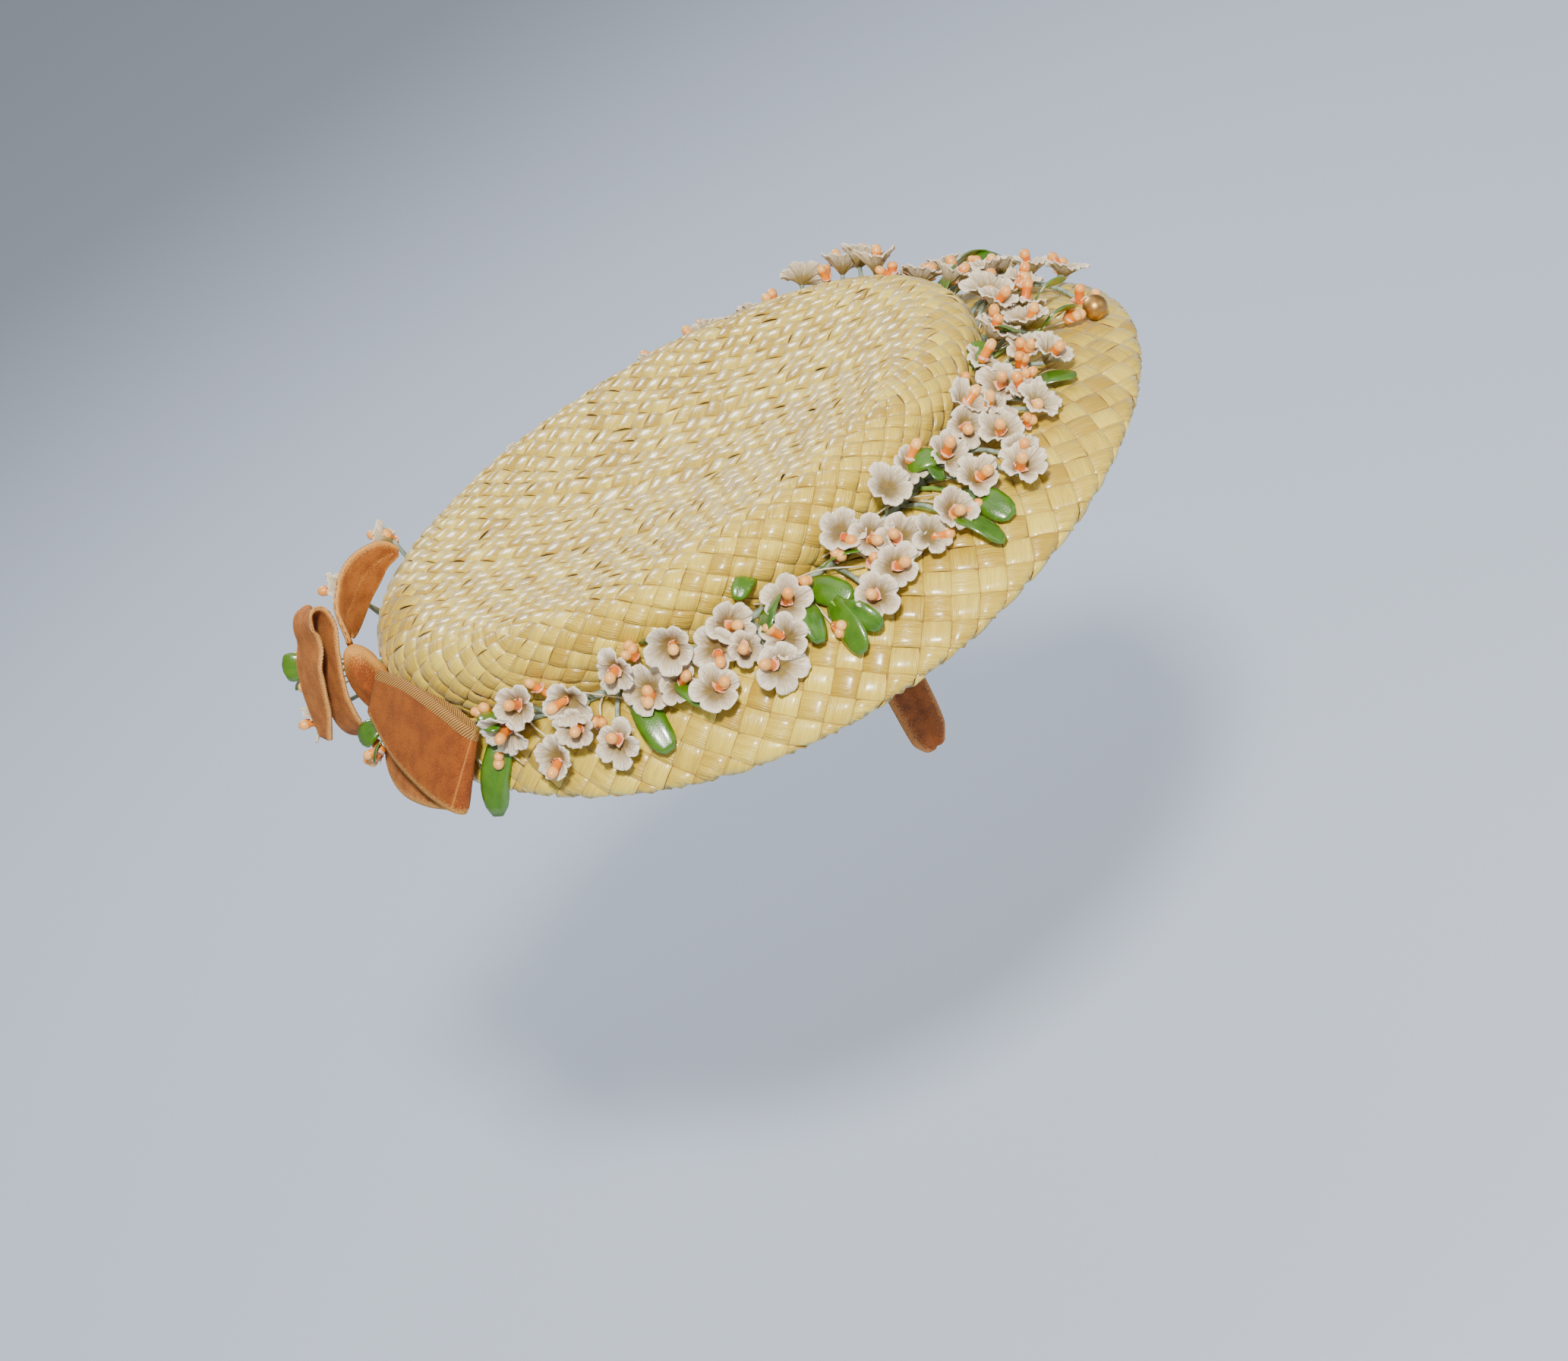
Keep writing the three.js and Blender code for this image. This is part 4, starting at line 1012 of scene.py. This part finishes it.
# Smaller leaves: turn, out, sweep, length, width, lift at the foot, rise to the tip and roll, in millimetres
# and degrees
SMALL_LEAF_ROWS = [
    (-143, 3, 60, 11, 6, 7, 5, 40), (-145, 5, -60, 10, 5, 4, 3, -30), (-110, 3, 75, 10, 6, 9, 3, 50),
    (-106, 11, 35, 10, 6, 4, 2, 30), (-85, 7, -50, 12, 7, 6, 4, -35), (-86, 3, -70, 9, 5, 10, 2, 40),
    (-76, 8, 60, 11, 5, 6, 3, 30), (-82, 12, -20, 11, 6, 4, 1, 20), (-79, 18, 25, 11, 6, 4, 1, -30),
    (-57, 20, 8, 15, 7, 4, -1, 15), (-54, 4, 40, 10, 6, 8, 3, -30), (-50, 9, -45, 9, 5, 6, 3, 35),
    (-11, 20, 25, 12, 7, 5, 3, 30), (-14, 8, -45, 11, 6, 10, 3, 40), (-25, 4, 65, 10, 6, 11, 2, -35),
    (-1, 22, 30, 12, 6, 6, 2, 35), (11, 5, 50, 11, 6, 12, 3, 30), (19, 22, 20, 12, 7, 8, 3, -25),
    (24, 20, -20, 12, 7, 10, 2, 30), (33, 8, 45, 12, 7, 9, 4, 30), (46, 6, -50, 11, 6, 9, 3, -30),
    (64, 9, 40, 12, 7, 6, 3, 25), (75, 6, -55, 11, 6, 8, 3, -30), (97, 8, 35, 12, 7, 6, 3, 30),
    (107, 6, -50, 10, 6, 8, 3, 30), (129, 8, 30, 12, 6, 5, 2, -30), (141, 6, -45, 10, 6, 6, 2, 25),
    (157, 6, 40, 10, 6, 4, 3, 30), (-152, 6, 45, 11, 6, 4, 3, -25), (-160, 5, -40, 9, 5, 5, 3, 30),
]
# Leaves at the stem's two ends, behind the bow: side, foot and tip in millimetres, width, and roll in degrees
TAIL_LEAF_ROWS = [
    (1, (-124, 15, 3), (-133, 17, 8), 8, 20), (1, (-125, 18, -1), (-132, 22, 0), 7, -30),
    (-1, (-114, -12, -13), (-123, -10, -16), 7, 10), (-1, (-115, -18, -15), (-122, -22, -19), 6, -30),
]
TAIL_LEAF_ARCH = 1.8
TAIL_LEAF_UP = np.array((-0.6, -0.4, 0.7))
ACROSS_LEAF = np.linspace(-1, 1, 9)
# Half a leaf's width along it, in shares of its width
LEAF_SHARES = np.linspace(0, 1, 13)
LEAF_OUTLINE = ([0, 0.12, 0.3, 0.6, 0.82, 0.93, 1], [0.3, 0.66, 0.92, 1, 0.92, 0.72, 0.35])
LEAF_LUSH = ((0.013, 0.065, 0.0), (0.05, 0.15, 0.002))
LEAF_LIGHTER = (0.11, 0.24, 0.004)
LEAF_MIDDLE = (0.04, 0.16, 0.004)
LEAF_PALE = ((0.12, 0.28, 0.03), (0.26, 0.43, 0.07))


def blade(path, ups, halves, roll, fold):
    """A folded strip along points, with half its width at each, turned about its own length by roll."""
    way = unit(np.gradient(path, axis=0))
    side = unit(np.cross(way, ups))
    top = np.cross(side, way)
    side, top = side * math.cos(roll) + top * math.sin(roll), top * math.cos(roll) - side * math.sin(roll)
    half = np.asarray(halves)[:, None, None]
    across = ACROSS_LEAF[None, :, None]
    lift = half * (fold * np.abs(across) ** 1.2 - LEAF_CURL * np.abs(across) ** 3)
    upper = path[:, None] + side[:, None] * across * half + top[:, None] * lift
    edge = np.sqrt(np.clip(1 - across ** 6, 0.05, 1))
    lower = upper - top[:, None] * LEAF_THICKNESS * edge
    points, faces = loft(list(np.concatenate([upper, lower[:, ::-1]], 1)))
    face = np.tile(np.repeat([1.0, 0.0], len(ACROSS_LEAF)), len(path))
    mid = np.tile(np.abs(ACROSS_LEAF), 2 * len(path))
    values = {"face": np.concatenate([face, [0.5, 0.5]]), "mid": np.concatenate([mid, [0, 0]]),
              "tone": flower_random.uniform()}
    return points, faces, values


def over_brim(turn, out, sweep, length, lift, climb, arch):
    """A leaf's line from its foot to its tip over the brim, and the way that is up at each point."""
    spots = []
    for share in LEAF_SHARES:
        turned = share * length * math.sin(sweep) / (crease_reach(turn) + out)
        height = lift + climb * share + arch * math.sin(math.pi * share)
        spots.append(on_brim(turn + turned, out + share * length * math.cos(sweep), height))
    return np.array([s[0] for s in spots]), np.array([s[1] for s in spots])


def add_leaf(leaves, path, ups, width, roll, fold, root, up, diameter, sides):
    """A leaf along a line, on a stalk that leaves the stem at its root."""
    leaves.append(blade(path, ups, leaf_half * width, roll, fold))
    knots = [root, (root + path[0]) / 2 + up, path[0]]
    tail = stalk(knots, 5, up + np.array((0.01, 0.02, 0)), diameter / 2, sides)
    leaves.append((*tail, {"face": 0.0, "mid": 0.5, "tone": 0.3}))


leaf_half = np.interp(LEAF_SHARES, *LEAF_OUTLINE)
big_leaves, small_leaves = [], []
for turn, out, sweep in LEAF_ROWS:
    turn, sweep = math.radians(turn), math.radians(sweep)
    rises = (LEAF_LIFT * LEAF_LENGTH, LEAF_RISE * LEAF_LENGTH, LEAF_ARCH)
    path, ups = over_brim(turn, out * LEAF_LENGTH, sweep, LEAF_LENGTH, *rises)
    roll = flower_random.normal(0, 0.4)
    add_leaf(big_leaves, path, ups, LEAF_HALF * LEAF_WIDTH, roll, LEAF_FOLD, stem_point(turn), ups[0],
             STALK_DIAMETER, 8)
for turn, out, sweep, length, width, lift, climb, roll in SMALL_LEAF_ROWS:
    turn, sweep = math.radians(turn), math.radians(sweep)
    path, ups = over_brim(turn, out, sweep, length, lift, climb, SMALL_LEAF_ARCH)
    add_leaf(small_leaves, path, ups, SMALL_LEAF_HALF * width, math.radians(roll), SMALL_LEAF_FOLD,
             stem_point(turn), ups[0], SMALL_STALK_DIAMETER, 6)
for side, foot, tip, width, roll in TAIL_LEAF_ROWS:
    foot, tip = np.array(foot, float), np.array(tip, float)
    arch = TAIL_LEAF_ARCH * np.sin(math.pi * LEAF_SHARES)[:, None] * TAIL_LEAF_UP
    path = foot + LEAF_SHARES[:, None] * (tip - foot) + arch
    ups = np.broadcast_to(TAIL_LEAF_UP, path.shape)
    root = stem_path[-1 if side > 0 else 0]
    add_leaf(small_leaves, path, ups, SMALL_LEAF_HALF * width, math.radians(roll), SMALL_LEAF_FOLD,
             root, np.array((0, 0, 1)), SMALL_STALK_DIAMETER, 6)

leaf_finish, tree, shader = new_material("coated leaf cloth", Coat_Weight=0.8, Coat_Roughness=0.14)
face = point_value(tree, "face")
lush = mottled(tree, 260.0, *LEAF_LUSH)
pale = mottled(tree, 400.0, *LEAF_PALE)
lightness = calculate(tree, "MULTIPLY", point_value(tree, "tone"), 0.45)
lighter = mix(tree, lightness, lush["Color"], colour(LEAF_LIGHTER))
veined = mix(tree, stretch(tree, point_value(tree, "mid"), 0.0, 0.1), colour(LEAF_MIDDLE), lighter)
shade = mix(tree, face, pale["Color"], veined)
feed(tree, shader, Base_Color=shade, Roughness=stretch(tree, face, 0.0, 1.0, 0.6, 0.3))
bumped(tree, shader, lush["Fine"], 0.00008)
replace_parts(add_joined("coated_leaves", big_leaves, leaf_finish, "leaf"), *numbered("leaf", len(LEAF_ROWS)))
add_joined("coated_leaves_small", small_leaves, leaf_finish, "leaf")

# Velvet bow
# Rust-coloured velvet ribbon, folded into loops and drawn together by a knot at the rear of the crown. The
# pile is deep orange and worn lighter at the borders. A lighter colour is painted as sheen on the knot's rim,
# along the upper loop's middle fold and over the upper and rear loops, as of pile seen at a glancing angle.
# Each ribbon has a narrow ribbed woven edge.
RIBBON_WIDTH = 28
RIBBON_THICKNESS = 1.8
BOW_FOOT = np.array([-float(crease_reach(math.pi)), 0, CREASE_HEIGHT])
# Back, side and up in shares of the ribbon's width, from the crease at the rear, and how wide the ribbon is
UPPER_LOOP_ROWS = [
    (0.37, 0.02, 0.862, 0.25), (0.31, 0.18, 1.06, 0.6), (0.17, 0.4, 1.12, 0.82), (-0.07, 0.59, 1.24, 0.74),
    (-0.36, 0.73, 1.27, 0.5), (-0.56, 0.83, 1.2, 0.15),
]
UPPER_LOOP_ACROSS = [(0.18, 0.34, -0.9), (0.18, 0.38, -0.9)]
REAR_LOOP_ROWS = [
    (0.44, -0.06, -0.05, 0.45), (0.64, -0.02, -0.12, 0.6), (0.83, 0.02, 0, 0.7), (0.84, 0.08, 0.3, 0.75),
    (0.75, 0.12, 0.6, 0.75), (0.62, 0.14, 0.9, 0.72), (0.5, 0.14, 1.2, 0.7), (0.52, 0.14, 1.36, 0.7),
    (0.64, 0.14, 1.3, 0.7), (0.76, 0.14, 1.04, 0.75), (0.88, 0.14, 0.84, 0.75), (0.98, 0.14, 0.6, 0.7),
    (1.07, 0.14, 0.33, 0.6), (1.17, 0.12, 0.04, 0.3),
]
REAR_LOOP_ACROSS = [(0.42, 0.87, -0.25)] * 2
RIGHT_LOOP_FROM = (0.37, -0.73, 0.53)
RIGHT_LOOP_TO = (-0.1, -2.4, -0.1)
RIGHT_LOOP_ACROSS = [(0.62, -0.09, -0.77)] * 2
# The right loop seen from its side: along in shares of its length, off in shares of the ribbon's width, width
LOOP_ROWS = [
    (0, 0, 0.55), (0.35, 0.05, 0.9), (0.75, 0.05, 1), (0.96, 0, 0.95), (1, -0.07, 0.93), (0.96, -0.14, 0.9),
    (0.6, -0.13, 0.9), (0.12, -0.12, 0.5),
]
# The layer that shows below the right loop, as points in millimetres
UNDER_LAYER_ROWS = [(-111, -8, -14), (-115, -17, -20), (-114, -31, -22), (-109, -47, -23), (-102, -64, -23)]
UNDER_LAYER_WIDTHS = [0.35, 0.52, 0.56, 0.52, 0.4]
KNOT_MIDDLE = (0.385, -0.12, 0.43)
KNOT_SIZE = (0.21, 0.36, 0.46)
KNOT_SIDES = 48
KNOT_RINGS = 29
KNOT_FOLDS = 7
KNOT_FOLD_DEPTH = 0.05
# The way the knot is seen from: its rim, edge-on to this way, takes the light border colour as painted sheen
KNOT_FACE = np.array([-0.35, -0.85, 0.3])
ACROSS_RIBBON = np.linspace(-1, 1, 17)
RIBBON_STEPS = 12
# The pile's middle counts as this far from a border, so the gathered upper loop takes the light border colour
# along its middle too, as painted sheen on its fold
FOLD_SHEEN_REACH = 9.0
UPPER_FOLD_SHEEN_REACH = 1.6
# The width of the woven edge, the closeness of its ribs, and how far along the right loop its seam lies
WOVEN_EDGE = 3.2
RIB_CLOSENESS = 6.5
SEAM_AT = 51.0
NO_SEAM = -99.0
# Deep pile, its face, and worn pile at the borders, whose colour also paints sheen; then a lighter copy of
# all three, painted as sheen of pile seen at a glancing angle
RUST = ((0.2, 0.038, 0.0), (0.34, 0.078, 0.0), (0.68, 0.32, 0.06))
SHEEN_RUST = ((0.27, 0.068, 0.006), (0.46, 0.145, 0.02), (0.7, 0.33, 0.08))


def bow_way(back, side, up):
    return unit(np.array([-back, side, up], float))


def bow_point(back, side, up):
    return BOW_FOOT + RIBBON_WIDTH * np.array([-back, side, up])


def ribbon(rows, widths, across_ends, full_width, thickness, section_of):
    """A strip through rows of points, and its flat length and area. section_of gives its half thickness."""
    path = spline(rows, RIBBON_STEPS)
    wide = spline(np.stack([np.arange(len(widths)), widths], -1), RIBBON_STEPS)[:, 1]
    share = np.linspace(0, 1, len(path))[:, None]
    along = unit(np.gradient(path, axis=0))
    across = across_ends[0] * (1 - share) + across_ends[1] * share
    across = unit(across - along * np.sum(across * along, -1, keepdims=True))
    top = np.cross(along, across)
    half = np.maximum(wide * full_width / 2, 0.8)[:, None, None]
    u = ACROSS_RIBBON[None, :, None]
    swell = section_of(ACROSS_RIBBON)[None, :, None] * thickness / 2
    upper = path[:, None] + across[:, None] * u * half + top[:, None] * swell
    lower = path[:, None] + across[:, None] * u * half - top[:, None] * swell
    points, faces = loft(list(np.concatenate([upper, lower[:, ::-1]], 1)))
    steps = np.linalg.norm(np.diff(path, axis=0), axis=1)
    length = np.concatenate([[0], np.cumsum(steps)])
    round_ribbon = np.concatenate([ACROSS_RIBBON, ACROSS_RIBBON[::-1]])
    halves = np.repeat(half.ravel(), len(round_ribbon))
    from_middle = np.tile(round_ribbon, len(path)) * halves
    values = {
        "along": np.concatenate([np.repeat(length, len(round_ribbon)), [0, length[-1]]]),
        "across": np.concatenate([from_middle, [0, 0]]),
        "edge": np.concatenate([halves - np.abs(from_middle), [0, 0]]),
    }
    area = float(np.sum(steps * (half.ravel()[1:] + half.ravel()[:-1])))
    return (points, faces, values), float(length[-1]), area


def flat_section(u):
    return np.sqrt(np.clip(1 - np.abs(u) ** 8, 0.02, 1))


velvet, given, result = new_group(
    "velvet pile", {"Scale": "Float", "Deep": "Color", "Face": "Color", "Wear and sheen": "Color", "Edge": "Float"},
    {"Color": "Color", "Height": "Float"})
where = put(velvet, "ShaderNodeTexCoord").outputs["Object"]
crushed = put(velvet, "ShaderNodeTexNoise", {"Vector": where, "Scale": given["Scale"], "Detail": 4.0})
tufts = calculate(velvet, "MULTIPLY", given["Scale"], 14.0)
tuft = put(velvet, "ShaderNodeTexNoise", {"Vector": where, "Scale": tufts, "Detail": 3.0}).outputs["Fac"]
lie = stretch(velvet, calculate(velvet, "ADD", crushed.outputs["Fac"], tuft), 0.84, 1.16)
pile = mix(velvet, lie, given["Deep"], given["Face"])
# Lighter pile near a border, partly wear and partly painted sheen; on the knot and along the upper loop's
# fold it is painted sheen only
frayed_and_sheen = calculate(velvet, "ADD", given["Edge"], calculate(velvet, "MULTIPLY", tuft, -5.0))
worn = stretch(velvet, frayed_and_sheen, -2.0, -0.3)
velvet.links.new(mix(velvet, worn, given["Wear and sheen"], pile), result["Color"])
velvet.links.new(tuft, result["Height"])


def velvet_finish(name, deep, face, worn, woven_edge=0.0, seam=NO_SEAM):
    """Velvet with borders worn lighter, whose colour also paints sheen where a piece's edge value is small. A
    woven edge may run along one border, and a seam across at a length.
    """
    material, tree, shader = new_material(
        name, Roughness=0.85, Sheen_Weight=0.25, Sheen_Roughness=0.3, Sheen_Tint=colour(worn))
    placed = place_group(tree, velvet, {
        "Scale": 190.0, "Deep": colour(deep), "Face": colour(face), "Wear and sheen": colour(worn)})
    edge, along, across = (point_value(tree, key) for key in ("edge", "along", "across"))
    tree.links.new(edge, placed.inputs["Edge"])
    slant = calculate(tree, "ADD", along, calculate(tree, "MULTIPLY", across, 0.7))
    rib = stretch(tree, calculate(tree, "SINE", calculate(tree, "MULTIPLY", slant, RIB_CLOSENESS)), -0.5, 0.5)
    near_border = stretch(tree, edge, woven_edge, woven_edge + 0.01, 1.0, 0.0)
    band = calculate(tree, "MULTIPLY", near_border, calculate(tree, "LESS_THAN", across, 0.0))
    woven = mix(tree, rib, colour([c * 0.2 for c in worn]), colour([c * 0.85 for c in worn]))
    shaded = mix(tree, band, placed.outputs["Color"], woven)
    off_seam = calculate(tree, "ABSOLUTE", calculate(tree, "SUBTRACT", along, seam))
    sewn = stretch(tree, off_seam, 0.12, 0.35, 0.35, 0.0)
    feed(tree, shader, Base_Color=mix(tree, sewn, shaded, colour(worn)))
    bumped(tree, shader, mix(tree, band, placed.outputs["Height"], rib), 0.0005, 0.9)
    return material


bow_finish = velvet_finish("rust velvet", *RUST, WOVEN_EDGE, SEAM_AT)
plain_finish = velvet_finish("rust velvet without a ribbed edge", *RUST)
sheen_finish = velvet_finish("rust velvet with painted sheen", *SHEEN_RUST)


def add_ribbon(name, node, rows, widths, across, finish, fold_sheen_reach=FOLD_SHEEN_REACH):
    """A ribbon of the bow through points. Its flat size and area are worked out and not used."""
    across_ends = [bow_way(*way) for way in across]
    made, length, area = ribbon(rows, widths, across_ends, RIBBON_WIDTH, RIBBON_THICKNESS, flat_section)
    points, faces, values = made
    # A small reach paints sheen along the ribbon's middle as well as at its borders
    values["edge"] = np.minimum(values["edge"], fold_sheen_reach + np.abs(values["across"]))
    piece = add_piece(name, points, faces, finish, "bow_velvet", values)
    if node:
        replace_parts(piece, node)
    flat = (RIBBON_WIDTH * max(widths) * MM, length * MM)
    area = min(area * MM ** 2, flat[0] * flat[1])


def bow_rows(rows):
    return [bow_point(*row[:3]) for row in rows], [row[3] for row in rows]


def loop_rows():
    start, end = bow_point(*RIGHT_LOOP_FROM), bow_point(*RIGHT_LOOP_TO)
    along = end - start
    off = unit(np.cross(bow_way(*RIGHT_LOOP_ACROSS[0]), along))
    return [start + along * row[0] + off * row[1] * RIBBON_WIDTH for row in LOOP_ROWS]


knot_rings = []
knot_turn = np.arange(KNOT_SIDES) / KNOT_SIDES * 2 * math.pi
for tilt in np.linspace(-0.48, 0.48, KNOT_RINGS) * math.pi:
    folds = np.cos(KNOT_FOLDS * knot_turn + 2 * math.sin(3 * tilt))
    reach = math.cos(tilt) * (1 + KNOT_FOLD_DEPTH * folds * math.cos(tilt))
    ring = [np.cos(knot_turn) * reach, np.sin(knot_turn) * reach, np.full(KNOT_SIDES, math.sin(tilt))]
    knot_rings.append(bow_point(*KNOT_MIDDLE) + np.stack(ring, -1) * RIBBON_WIDTH * np.array(KNOT_SIZE))
knot_points, knot_faces = loft(knot_rings)
# Painted sheen: the knot's surface takes the light border colour where it turns edge-on to KNOT_FACE
towards = unit(knot_points - bow_point(*KNOT_MIDDLE)) @ unit(KNOT_FACE)
values = {"edge": 6 * np.clip(np.abs(towards) - 0.4, 0, 1), "along": 0 * towards, "across": 0 * towards}
knot = add_piece("velvet_knot", knot_points, knot_faces, plain_finish, "bow_velvet", values)
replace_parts(knot, "bow_knot")
add_ribbon("velvet_loop_right", "bow_loop_right", loop_rows(), [row[2] for row in LOOP_ROWS],
           RIGHT_LOOP_ACROSS, bow_finish)
# The upper loop, the rear loop and the layer below the right loop take the lighter copy of the velvet,
# painted sheen of pile seen at a glancing angle
add_ribbon("velvet_loop_upper", "bow_loop_upper", *bow_rows(UPPER_LOOP_ROWS),
           UPPER_LOOP_ACROSS, sheen_finish, UPPER_FOLD_SHEEN_REACH)
add_ribbon("velvet_loop_rear", "bow_loop_rear", *bow_rows(REAR_LOOP_ROWS), REAR_LOOP_ACROSS, sheen_finish)
add_ribbon("velvet_under_layer", None, UNDER_LAYER_ROWS, UNDER_LAYER_WIDTHS, RIGHT_LOOP_ACROSS, sheen_finish)

# Velvet grips
# Two sprung wires padded and covered with brown velvet are sewn inside the crown, one at each side. They
# hang below the brim and press on the head's sides.
GRIP_LENGTH = 80
GRIP_WIDTH = 14
GRIP_THICKNESS = 4
GRIP_TURN = 71
GRIP_TUCK = 7.5
# Drop in shares of the length, lean towards the head in shares of the length, and width
GRIP_ROWS = [
    (0, 0, 0.7), (0.12, 0.01, 0.95), (0.45, 0.02, 1), (0.75, 0.05, 1), (0.94, 0.08, 0.9), (1, 0.09, 0.55),
]
BROWN = ((0.15, 0.035, 0.003), (0.31, 0.08, 0.009), (0.52, 0.22, 0.06))


def grooved_section(u):
    return np.sqrt(np.clip(1 - np.abs(u) ** 2.6, 0.01, 1)) * (1 - 0.4 * np.exp(-((u / 0.16) ** 2)))


grip_finish = velvet_finish("brown velvet", *BROWN)
for name, turn in (("velvet_grip_right", -GRIP_TURN), ("velvet_grip_left", GRIP_TURN)):
    turn = math.radians(turn)
    reach = float(crease_reach(turn)) - STRAW_WALL - SEAT_GAP - GRIP_THICKNESS / 2
    rows = [polar(turn, reach - lean * GRIP_LENGTH, CREASE_HEIGHT + GRIP_TUCK - drop * GRIP_LENGTH)
            for drop, lean, _ in GRIP_ROWS]
    across = polar(turn + math.pi / 2, 1, 0)
    widths = [row[2] for row in GRIP_ROWS]
    made = ribbon(rows, widths, (across, across), GRIP_WIDTH, GRIP_THICKNESS, grooved_section)[0]
    piece = add_piece("padded_" + name, *made[:2], grip_finish, "grip_velvet", made[2])
    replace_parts(piece, name)

# Hat pin
# A bronze-coloured bead, polished to satin, on a steel shank that passes down through the front brim.
PIN_BEAD = 7.8
PIN_SHANK = 1.2
PIN_SHANK_LENGTH = 14
PIN_POINT_LENGTH = 3
PIN_TURN = math.radians(-6)
PIN_INSET = 10
PIN_SIDES = 32
BRONZE = ((0.38, 0.2, 0.055), (0.6, 0.36, 0.12))

pin_seat, pin_up = on_brim(PIN_TURN, float(brim_reach(PIN_TURN) - crease_reach(PIN_TURN)) - PIN_INSET, 0)
bead_radius = PIN_BEAD / 2
bead_turns = np.linspace(-0.44, 0.49, 25) * math.pi
heights = [-PIN_SHANK_LENGTH, -PIN_SHANK_LENGTH + PIN_POINT_LENGTH, SEAT_GAP]
heights += [SEAT_GAP + bead_radius * (1 + math.sin(t)) for t in bead_turns]
reaches = [0.1, PIN_SHANK / 2, PIN_SHANK / 2] + [bead_radius * math.cos(t) for t in bead_turns]
bronze_finish, tree, shader = new_material("bronze bead", Metallic=1.0)
rub = mottled(tree, 220.0, *BRONZE)
feed(tree, shader, Base_Color=rub["Color"], Roughness=stretch(tree, rub["Height"], 0.0, 1.0, 0.36, 0.48))
bumped(tree, shader, rub["Fine"], 0.00002)
pin_body = loft(spun(pin_seat, pin_up, heights, reaches, PIN_SIDES))
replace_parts(add_piece("bead_pin", *pin_body, bronze_finish, "pin"), "hat_pin")
